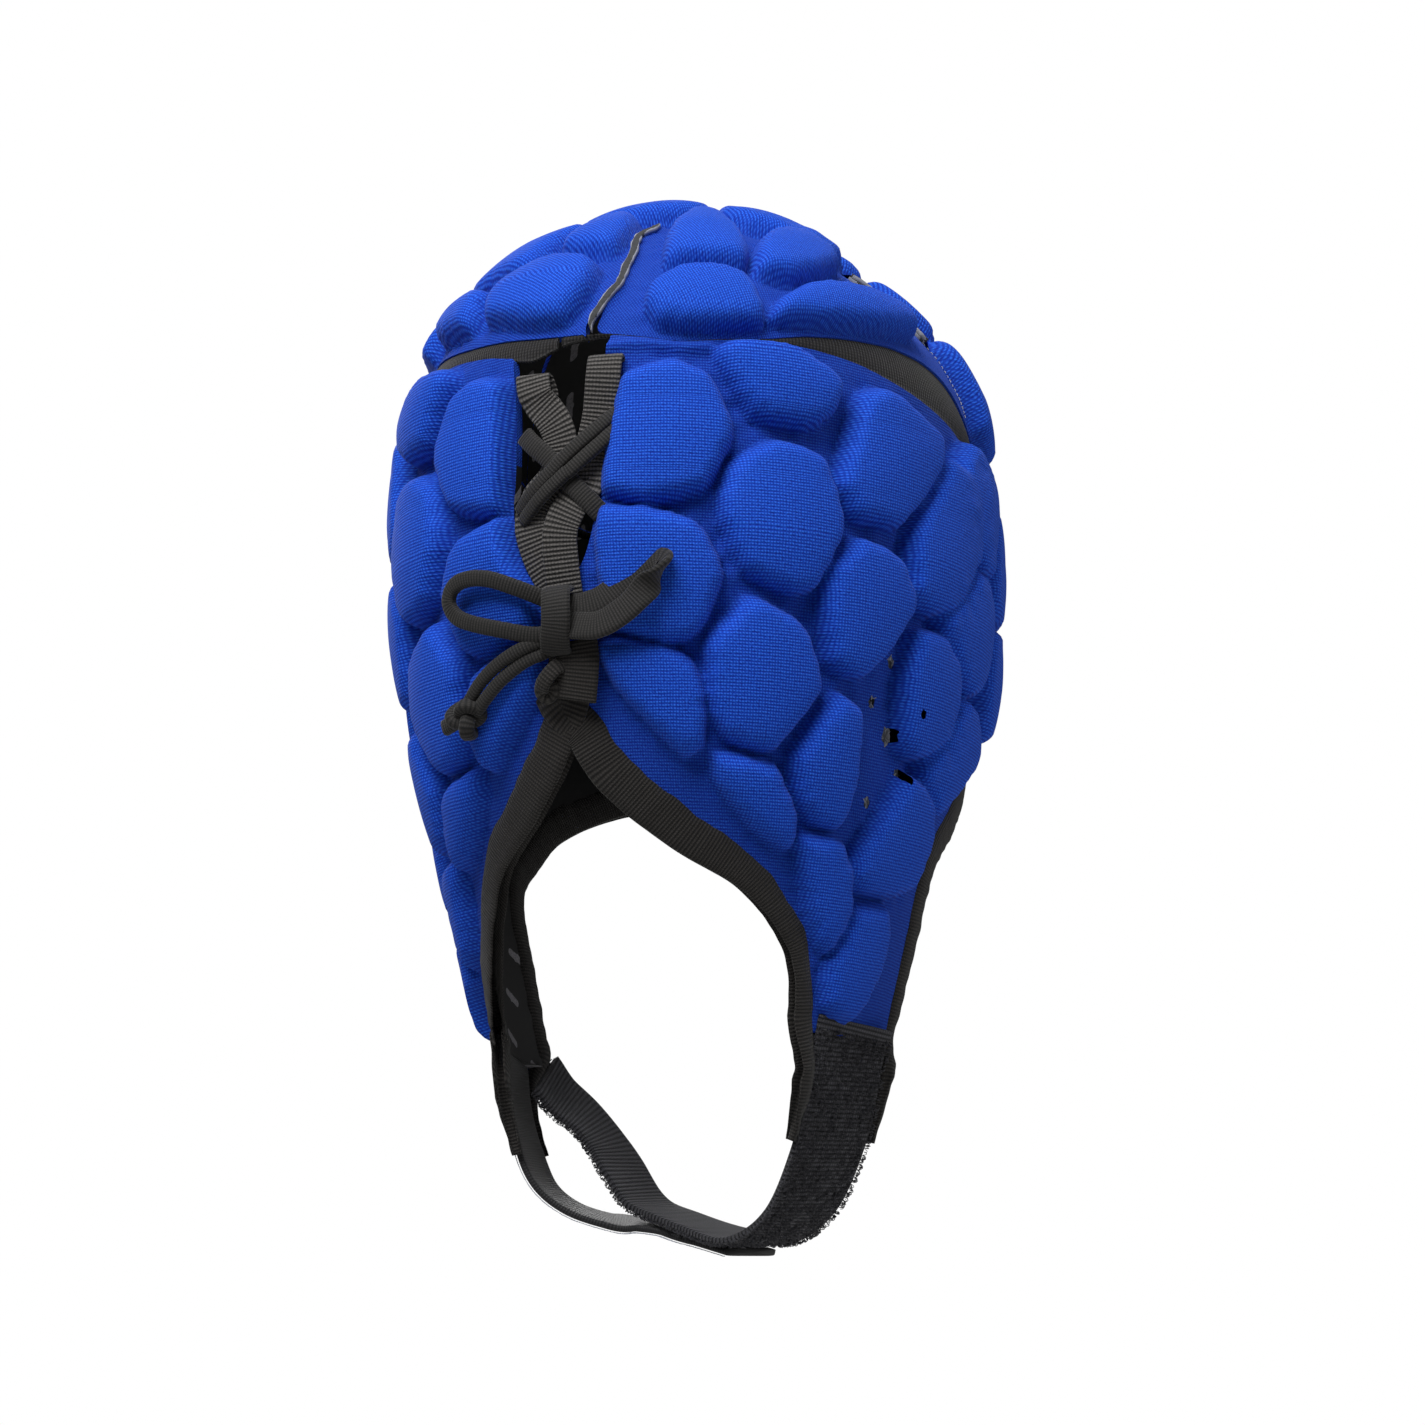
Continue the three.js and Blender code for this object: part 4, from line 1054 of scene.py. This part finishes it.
def buildVentBands():
    for side, ends in (("right", (0.3, 179.5)), ("left", (180.5, 359.7))):
        theta = np.radians(np.linspace(*ends, 260))
        top = levelAt(crownHem, theta) + band["overlap"]
        low = levelAt(panelTop, theta) - band["overlap"]
        columns = len(band["lift"])
        flat = np.stack([np.stack([theta * roundScale, low + (top - low) * i / (columns - 1)], 1)
                         for i in range(columns)], 1)
        place, away = onChart(sideChart, flat.reshape(-1, 2))
        lift = np.tile(band["lift"], len(theta))[:, None]
        outer, inner = place + away * lift, place + away * (lift - band["thick"])
        size = len(theta) * columns
        faces = []
        for i in range(len(theta) - 1):
            for j in range(columns - 1):
                a = i * columns + j
                quad = (a, a + 1, a + columns + 1, a + columns)
                faces += [quad[::-1], tuple(size + k for k in quad)]
            for a, turn in ((i * columns, 1), (i * columns + columns - 1, -1)):
                faces.append((a, a + columns, size + a + columns, size + a)[::turn])
        for a, turn in ((0, -1), ((len(theta) - 1) * columns, 1)):
            for j in range(columns - 1):
                faces.append((a + j, a + j + 1, size + a + j + 1, size + a + j)[::turn])
        normal = np.cross(outer[1] - outer[0], outer[columns] - outer[0])
        if normal @ away[0] > 0:
            faces = [face[::-1] for face in faces]
        piece = finishPiece(f"ventBand_{side}", np.vstack([outer, inner]), faces,
                            np.vstack([flat.reshape(-1, 2)] * 2), ["band"])
        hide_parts(f"vent_band_{side}")
        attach(piece, "root")


strap = {
    "drop": 53.2, "width": 33.0, "endWidth": 27.0, "tabWidth": 28.0, "thick": 2.2, "loops": 6400,
    "loopLength": 1.1, "loopHeight": 0.9, "loopThick": 0.12, "halfSpan": 77.5, "reach": 98,
    "strap": [(-.7, .145, -.1), (-.67, .14, .01), (-.635, .125, .23), (-.56, .095, .55), (-.43, .05, .85),
              (-.25, .01, .985), (-.05, -.03, .915), (.13, -.05, .82), (.24, -.05, .745), (.31, -.04, .6),
              (.38, -.03, .435), (.455, 0, .285), (.535, .04, .165), (.575, .08, .05)],
    "tab": [(.7, .145, -.1), (.67, .14, .01), (.66, .125, .23), (.633, .1, .45), (.58, .08, .65),
            (.487, .05, .775), (.36, .01, .845), (.24, -.03, .87), (.1, -.05, .91), (-.05, -.04, .975),
            (-.19, -.03, 1.04)],
}


def strapCourse(key):
    route = [(strap["halfSpan"] * x, strap["reach"] * y, flapTip - 0.3 - drop * strap["drop"])
             for x, y, drop in strap[key]]
    path = smoothRoute(route, 120)
    return (path, *frames(path, path - np.array([0, 0, flapTip])))


binding = {"beyond": 1.8, "thick": 2.15, "ruffle": 1.0, "pitch": 1.2,
           "nape_right": [(0, 10.5), (.27, 11), (.45, 9), (.58, 6.5), (.72, 5), (.9, 4.5), (1, 1.6)],
           "nape_left": [(0, 10.5), (.27, 10), (.45, 8), (.55, 9), (.66, 12), (.8, 12), (.9, 5), (1, 1.6)],
           "face_right": [(0, 9), (.5, 9), (.75, 7), (.9, 4.5), (1, 1.6)],
           "face_left": [(0, 9), (.5, 8), (.75, 6), (.9, 4.5), (1, 1.6)]}


def buildBindings():
    for label in ("face", "nape"):
        for side, sign in (("right", 1), ("left", -1)):
            line = napeLine[side] if label == "nape" else faceLine if side == "right" else otherWay(faceLine)
            place, away = onChart(sideChart, sideSpots(line, 160))
            path = place - away * shell["wall"] / 2
            # the tape runs on down the strap's edge below the flap
            course, across, out = strapCourse("strap" if side == "right" else "tab")
            edgeWay = 1 if (across[8, 1] > 0) == (label == "nape") else -1
            below = [i for i in range(40) if flapTip - 30 < course[i, 2] < flapTip - 2.5]
            reach = strap["width"] / 2 + 0.2
            path = np.vstack([path[:-3], course[below] + across[below] * edgeWay * reach])
            away = np.vstack([away[:-3], out[below]])
            count = int(np.linalg.norm(np.diff(path, axis=0), axis=1).sum() / binding["pitch"])
            both = smoothRoute(np.hstack([path, away * 20])[::4], count)
            path = both[:, :3]
            across, out = frames(path, both[:, 3:] / 20)
            inward = -1 if (label == "face") == (sign > 0) else 1
            seed = {"face": 3.1, "nape": 7.7}[label] + sign
            sections = []
            for i in range(count):
                t = i / (count - 1)
                wide = np.interp(t, *np.array(binding[f"{label}_{side}"]).T)
                ruffle = noise.noise((i * binding["pitch"] / 11, seed, 0)) * binding["ruffle"]
                small = noise.noise((i * binding["pitch"] / 4, seed, 5)) * binding["ruffle"] * 0.7
                close = min(1, 0.55 + (1 - t) * 5)
                thick, far = binding["thick"] * close, -binding["beyond"] * close
                grown = np.array([
                    (wide, 1.45), (wide - .5, thick - .2), (.7 * wide, thick + .1), (.35 * wide, thick + .15),
                    (1, thick), (far * .6, thick * .7), (far, .5), (far, -.5), (far * .6, -thick * .7),
                    (1, -thick), (.35 * wide, -thick - .1), (.7 * wide, -thick), (wide - .5, .2 - thick),
                    (wide, -1.45), (wide * .5, -1.34), (1.2, -1.32), (1.2, 1.32), (wide * .5, 1.34)])
                grown[4:10, 0] += (ruffle + small) * 0.9
                grown[:, 1] += (small * 0.5) * np.where(np.abs(grown[:, 1]) > 1.4, 1, 0)
                grown[1:4, 0] += small * 0.5
                grown[:, 0] *= inward
                sections.append(grown if inward > 0 else grown[::-1])
            piece = sweepSection(f"binding_{label}_{side}", path, across, out, np.array(sections), "binding")
            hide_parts(f"binding_{label}_{side}")
            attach(piece, "root")


webbing = {
    "width": 10.0, "thick": 1.3,
    "left": [(5, 78, -2.2), (5.6, 82, -1.6), (6.2, 84.6, 0), (5.9, 84.2, 1.9), (4.9, 79.5, 2.5),
             (3.7, 76.8, 1.6), (-.7, 70.1, .6), (-2.2, 63, 0), (-.7, 56.2, .2), (4.3, 49.8, .8),
             (6.1, 43, 1), (4.3, 34.6, .8), (.7, 26.8, .8), (-2, 21, .8)],
    "right": [(-13.6, 80, -2.2), (-13.9, 85.5, -1.6), (-14, 88.4, 0.2), (-14, 87.6, 2.4), (-14, 83, 3.2),
              (-13.6, 77, 2), (-13, 71, .8), (-12, 66.3, .4), (-10.6, 59.6, .4), (-10, 52.6, .8),
              (-5.8, 46.1, 2), (-3.2, 39.5, 2.3), (-3, 31.2, 2.1), (-3.6, 21.4, 2)],
}


def tapeOnBack(name, route, width, thick, material, count, corner=0.7):
    fine = smoothRoute(route, count)
    path, away = backPoints(fine)
    across, out = frames(path, away)
    section = np.broadcast_to(roundedSection(width, thick, 16, corner), (count, 16, 2))
    return sweepSection(name, path, across, out, section, material)


def foldedOnBack(name, route, width, thick, material, count, lean=0.0, corner=0.45):
    # a tape that folds over itself; lean turns its width away from level, in radians
    path, away = backPoints(smoothRoute(route, count))
    middle = away[count // 2]
    level, upward = tangentFrame(middle)
    hint = level * math.cos(lean) + upward * math.sin(lean)
    across, out = heldFrames(path, hint)
    section = np.broadcast_to(roundedSection(width, thick, 16, corner), (count, 16, 2))
    return sweepSection(name, path, across, out, section, material), path


def buildWebbing():
    for side in ("right", "left"):
        piece, _ = foldedOnBack(f"webbing_{side}", webbing[side], webbing["width"], webbing["thick"],
                                "webbing", 110)
        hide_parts(f"lace_webbing_{side}")
        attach(piece, "root")


lace = {
    # width and thickness of each length
    "sections": {"under": (5.6, 2.4), "over_upper": (3.9, 2.4), "over_lower": (3.9, 2.4), "wrap": (8.4, 2.2),
                 "leftLoop": (4.6, 2.8), "rightLoop": (8.0, 2.3), "tails": (3.6, 2.6), "stub": (4.6, 2.8),
                 "curl": (4.4, 1.6), "hem": (12.5, 1.8)},
    "ribbonLean": 1.02,
    "under": [(8.5, 68, 1), (5, 64.5, 1.9), (.7, 60.5, 2.2), (-6.7, 52.1, 2.6), (-11.5, 46.8, 2.4),
              (-14.5, 43.4, 1.4)],
    "over_upper": [(-20.4, 74.2, .8), (-16.5, 70.2, 3.6), (-12.6, 66.3, 4.6), (-5.2, 59.4, 5.2),
                   (2.2, 52.3, 4.6), (6, 49.3, 3.2), (9.5, 46.4, 1.4)],
    "over_lower": [(-21.4, 70.4, .8), (-18, 66.8, 3.6), (-14, 62.5, 4.6), (-6.7, 55.7, 5.2), (.7, 49.5, 4.6),
                   (4.6, 46.4, 3.2), (8.4, 43.4, 1.4)],
    "leftLoop": [(-1.2, 20.6, 5.6), (6.7, 25.2, 9.2), (14, 28.6, 10.8), (20.3, 29.3, 11.4),
                 (24.2, 27.6, 11.6), (25.4, 23.9, 11.6), (23.3, 20, 11.4), (18.5, 17.3, 11),
                 (11.1, 14.6, 9.8), (4, 12.4, 7.6), (-1, 12.4, 5.6)],
    "rightLoop": [(-3.5, 19.2, 5), (-8.7, 18.8, 5.8), (-14, 20.3, 6.2), (-18.5, 23.8, 6.4),
                  (-23.4, 27.6, 6.8), (-27.3, 29.8, 7.8), (-28.9, 29.5, 9.8), (-27.7, 26.9, 11.3),
                  (-24.6, 22.3, 11.9), (-20, 17.2, 11.6), (-14, 13.6, 10.6), (-7.2, 13.9, 8), (-3, 14.6, 6)],
    "tails": [[(0, 11.6, 5.4), (2.5, 10.6, 6.6), (6.7, 9.2, 8.4), (12.6, 6.1, 9.8), (17.9, 2.2, 10.4),
               (22.3, -2.6, 10.6)],
              [(-.2, 8.6, 5.2), (1.9, 7.4, 6), (6.7, 5.6, 7.8), (12.6, 1.7, 9.4), (17, -2.2, 10),
               (20.2, -5.4, 10.2)]],
    "stub": [(24, -6.4, 10.6), (27, -7, 10.9), (30.6, -7.8, 11)],
    "wrap": [(-3, 24, 4.4), (-3.3, 23, 8), (-3.7, 19.8, 10), (-3.7, 15.4, 10.6), (-2.8, 11, 9.6),
             (-1.9, 8, 7.2), (-1.6, 7.2, 4.2)],
    "hem": [(-6.4, 10, 4.6), (-6.6, 5, 4.9), (-5.9, 0, 4.9), (-4.7, -5.6, 4.4)],
    "curl": [(-2.6, 4.2, 5.2), (-1.2, 3.2, 7), (.6, 1.2, 7.9), (2.2, -.8, 7.6), (3.2, -2.8, 6.2),
             (2, -4, 5.4), (.6, -2.6, 5.6), (.9, -.8, 6.2)],
    "knotPlace": (-2.6, 16, 5), "knotSize": (4.4, 4.2, 7),
    "tailKnotPlace": (23.6, -6.6, 10.4), "tailKnotSize": (4.6, 4.3),
}


def knotAt(name, place, size):
    (centre,), (away,) = backPoints([place])
    across, upward = tangentFrame(away)
    turns, rings = 24, 14
    points, faces = [centre + upward * size[2]], []
    for i in range(1, rings):
        low = math.pi * i / rings
        for j in range(turns):
            turn = 2 * math.pi * j / turns
            bulge = 1 + 0.06 * math.sin(3 * turn + 5 * low)
            points.append(centre + (across * size[0] * math.cos(turn) + away * size[1] * math.sin(turn))
                          * math.sin(low) * bulge + upward * size[2] * math.cos(low))
    points.append(centre - upward * size[2])
    for j in range(turns):
        k = (j + 1) % turns
        faces.append((0, 1 + j, 1 + k))
        for i in range(rings - 2):
            upper, lower = 1 + i * turns, 1 + (i + 1) * turns
            faces.append((upper + j, lower + j, lower + k, upper + k))
        faces.append((len(points) - 1, 1 + (rings - 2) * turns + k, 1 + (rings - 2) * turns + j))
    points = np.array(points)
    uv = np.stack([(points - centre) @ across, (points - centre) @ upward], 1)
    return finishPiece(name, points, faces, uv, ["lace"])


def tiedKnot(name, place, reach, thick):
    # a lace knotted on itself, pulled tight: one trefoil turn of the lace
    (centre,), (away,) = backPoints([place])
    across, upward = tangentFrame(away)
    t = np.linspace(0, 2 * math.pi, 90)
    flat = np.stack([np.sin(t) + 2 * np.sin(2 * t), np.cos(t) - 2 * np.cos(2 * t), -1.5 * np.sin(3 * t)], 1)
    flat = flat * reach / 3
    path = centre + flat[:, :1] * across + flat[:, 1:2] * upward + flat[:, 2:] * away
    side, out = frames(path, path - centre + away * 0.01)
    section = np.broadcast_to(roundedSection(thick, thick * 0.8, 12, 0.7), (90, 12, 2))
    return sweepSection(name, path, side, out, section, "lace")


def buildLace():
    made, size = [], lace["sections"]
    for key in ("under", "over_upper", "over_lower"):
        made.append((tapeOnBack(f"lace_{key}", lace[key], *size[key], "lace", 60), f"lace_{key}"))
    wrap, _ = foldedOnBack("bowKnot", lace["wrap"], *size["wrap"], "lace", 60, corner=0.6)
    made.append((joinPieces(wrap, [knotAt("bowKnotCore", lace["knotPlace"], lace["knotSize"])]), "bow_knot"))
    ribbon, ribbonPath = foldedOnBack("bowLoop_right", lace["rightLoop"], *size["rightLoop"], "lace", 110,
                                      lace["ribbonLean"], 0.6)
    loop = tapeOnBack("bowLoop_left", lace["leftLoop"], *size["leftLoop"], "lace", 110)
    loopPath, _ = backPoints(smoothRoute(lace["leftLoop"], 110))
    made += [(ribbon, "bow_loop_right"), (loop, "bow_loop_left")]
    tails = [tapeOnBack(f"laceTail_{i}", route, *size["tails"], "lace", 50)
             for i, route in enumerate(lace["tails"])]
    made.append((joinPieces(tails[0], tails[1:]), "lace_tail"))
    stub = tapeOnBack("tailStub", lace["stub"], *size["stub"], "lace", 14)
    knot = tiedKnot("tailKnot", lace["tailKnotPlace"], *lace["tailKnotSize"])
    made.append((joinPieces(knot, [stub]), "tail_knot"))
    curl = tapeOnBack("laceCurl", lace["curl"], *size["curl"], "binding", 50)
    hem, _ = foldedOnBack("laceHem", lace["hem"], *size["hem"], "binding", 30, corner=0.5)
    made.append((joinPieces(hem, [curl]), "lace_hem"))
    for piece, node in made:
        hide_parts(node)
        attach(piece, "root")


def layThreadsTree():
    # a short arched thread on each point, along one direction and standing in another
    tree = bpy.data.node_groups.new("layThreads", "GeometryNodeTree")
    tree.is_modifier = True
    face = tree.interface
    face.new_socket("Places", in_out="INPUT", socket_type="NodeSocketGeometry")
    for label in ("Thread Length", "Arch Height", "Thread Radius", "Variation"):
        face.new_socket(label, in_out="INPUT", socket_type="NodeSocketFloat")
    face.new_socket("Thread", in_out="INPUT", socket_type="NodeSocketMaterial")
    face.new_socket("Threads", in_out="OUTPUT", socket_type="NodeSocketGeometry")
    start = addNode(tree, "NodeGroupInput")
    half = addNode(tree, "ShaderNodeMath", {0: start.outputs["Thread Length"], 1: 0.5}, operation="MULTIPLY")
    other = addNode(tree, "ShaderNodeMath", {0: start.outputs["Thread Length"], 1: -0.5},
                    operation="MULTIPLY")
    first = addNode(tree, "ShaderNodeCombineXYZ", {0: other.outputs[0]})
    last = addNode(tree, "ShaderNodeCombineXYZ", {0: half.outputs[0]})
    double = addNode(tree, "ShaderNodeMath", {0: start.outputs["Arch Height"], 1: 2.0}, operation="MULTIPLY")
    top = addNode(tree, "ShaderNodeCombineXYZ", {2: double.outputs[0]})
    arch = addNode(tree, "GeometryNodeCurveQuadraticBezier",
                   {"Resolution": 4, "Start": first.outputs[0], "Middle": top.outputs[0],
                    "End": last.outputs[0]})
    ring = addNode(tree, "GeometryNodeCurvePrimitiveCircle",
                   {"Resolution": 3, "Radius": start.outputs["Thread Radius"]})
    thread = addNode(tree, "GeometryNodeCurveToMesh",
                     {"Curve": arch.outputs[0], "Profile Curve": ring.outputs[0], "Fill Caps": True})
    reads = []
    for label in ("away", "along"):
        read = addNode(tree, "GeometryNodeInputNamedAttribute", {"Name": label}, data_type="FLOAT_VECTOR")
        reads.append(read.outputs[0])
    turn = addNode(tree, "FunctionNodeAxesToRotation", {0: reads[0], 1: reads[1]},
                   primary_axis="Z", secondary_axis="X")
    low = addNode(tree, "ShaderNodeMath", {0: 1.0, 1: start.outputs["Variation"]}, operation="SUBTRACT")
    high = addNode(tree, "ShaderNodeMath", {0: 1.0, 1: start.outputs["Variation"]}, operation="ADD")
    size = addNode(tree, "FunctionNodeRandomValue", {2: low.outputs[0], 3: high.outputs[0], "Seed": 11},
                   data_type="FLOAT")
    laid = addNode(tree, "GeometryNodeInstanceOnPoints",
                   {"Points": start.outputs["Places"], "Instance": thread.outputs[0],
                    "Rotation": turn.outputs[0], "Scale": size.outputs[1]})
    real = addNode(tree, "GeometryNodeRealizeInstances", {"Geometry": laid.outputs[0]})
    done = addNode(tree, "GeometryNodeSetMaterial",
                   {"Geometry": real.outputs[0], "Material": start.outputs["Thread"]})
    addNode(tree, "NodeGroupOutput", {"Threads": done.outputs[0]})
    return tree


layThreads = layThreadsTree()


def threadPiece(name, places, away, along, length, height, radius, material, variation):
    mesh = bpy.data.meshes.new(name)
    mesh.from_pydata(((np.asarray(places) + [0, 0, earLine]) * mm).tolist(), [], [])
    for label, values in (("away", away), ("along", along)):
        layer = mesh.attributes.new(label, "FLOAT_VECTOR", "POINT")
        layer.data.foreach_set("vector", np.asarray(values, np.float32).ravel())
    piece = bpy.data.objects.new(name, mesh)
    bpy.context.scene.collection.objects.link(piece)
    runTree(piece, layThreads, {"Thread Length": length * mm, "Arch Height": height * mm,
                                "Thread Radius": radius * mm, "Variation": variation,
                                "Thread": finishes[material]}, ("away", "along"))
    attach(piece, "root")
    print(name, len(piece.data.polygons))


def buildStraps():
    rng = np.random.default_rng(4)
    for name, node, key, last, material in (("chinStrap", "chin_strap", "strap", strap["endWidth"], "pile"),
                                            ("chinTab", "chin_tab", "tab", strap["tabWidth"], "strapBack")):
        path, across, out = strapCourse(key)
        share = np.linspace(0, 1, len(path))
        wide = strap["width"] + (last - strap["width"]) * share
        course = np.hstack([path, across, out, wide[:, None]])
        sections = [roundedSection(w, strap["thick"], 28, 0.3) for w in wide]
        piece = sweepSection(name, path, across, out, np.array(sections), material)
        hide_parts(node)
        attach(piece, "root")
        if key == "strap":
            # loop pile covers the outer face and fuzzes both edges
            t = rng.uniform(0.02, 1, strap["loops"])
            s = rng.uniform(-0.5, 0.5, strap["loops"])
            s = np.where(rng.uniform(0, 1, len(s)) < 0.1, np.sign(s) * 0.5, s)
            spot = np.stack([np.interp(t, share, column) for column in course.T], 1)
            sideways, outward = spot[:, 3:6], spot[:, 6:9]
            places = (spot[:, :3] + sideways * (s * spot[:, 9])[:, None]
                      + outward * (strap["thick"] / 2 - 0.15))
            tilt = np.where(np.abs(s) > 0.47, np.sign(s) * 2, 0) + rng.normal(0, .35, len(s))
            lean = outward + sideways * tilt[:, None]
            along = rng.normal(0, 1, places.shape)
            threadPiece("chinStrapPile", places, lean, along, strap["loopLength"], strap["loopHeight"],
                        strap["loopThick"], "pile", 0.35)
        # a pale line of sewing thread runs along one edge
        fine = smoothRoute(course[(66 if key == "strap" else 22):-1:3], 130)
        edge = (fine[:, :3] - fine[:, 3:6] * (fine[:, 9:] / 2 - 0.3)
                + fine[:, 6:9] * (strap["thick"] / 2 + 0.05))
        threadPiece(f"{name}_edgeThread", edge, fine[:, 6:9], np.gradient(edge, axis=0), 1.5, 0.15, 0.11,
                    "thread", 0.2)


def buildStitches():
    # pale backing threads fray out round the ear holes, and a stitched seam runs below the vent
    rng = np.random.default_rng(9)
    for side in ("right", "left"):
        places, ways, ahead = [], [], []
        for loop in holeLoops(side):
            spot, away = onChart(sideChart, loop)
            centre = spot.mean(0)
            for i in range(len(loop)):
                if rng.uniform() < 0.55:
                    inward = (centre - spot[i]) + rng.normal(0, 0.7, 3)
                    places.append(spot[i] + inward * 0.25 + away[i] * rng.uniform(-1.2, 0.3))
                    ways.append(away[i] + rng.normal(0, 0.3, 3))
                    ahead.append(inward)
        threadPiece(f"earThreads_{side}", places, ways, ahead, 1.5, 0.25, 0.09, "thread", 0.4)
    seam = smoothRoute([(73.2, 96), (73.5, 104.5), (74.5, 110.5), (75.5, 113.5), (77, 116.5)], 17)
    flat = crownFlat(np.radians(seam[:, 0]), seam[:, 1])
    spot, away = onChart(crownChart, flat)
    threadPiece("ventSeamStitches", spot + away * 0.25, away, np.gradient(spot, axis=0), 0.8, 0.15, 0.13,
                "thread", 0.1)


buildVentBands()
buildBindings()
buildWebbing()
buildLace()
buildStraps()
buildStitches()
print("trim ready")
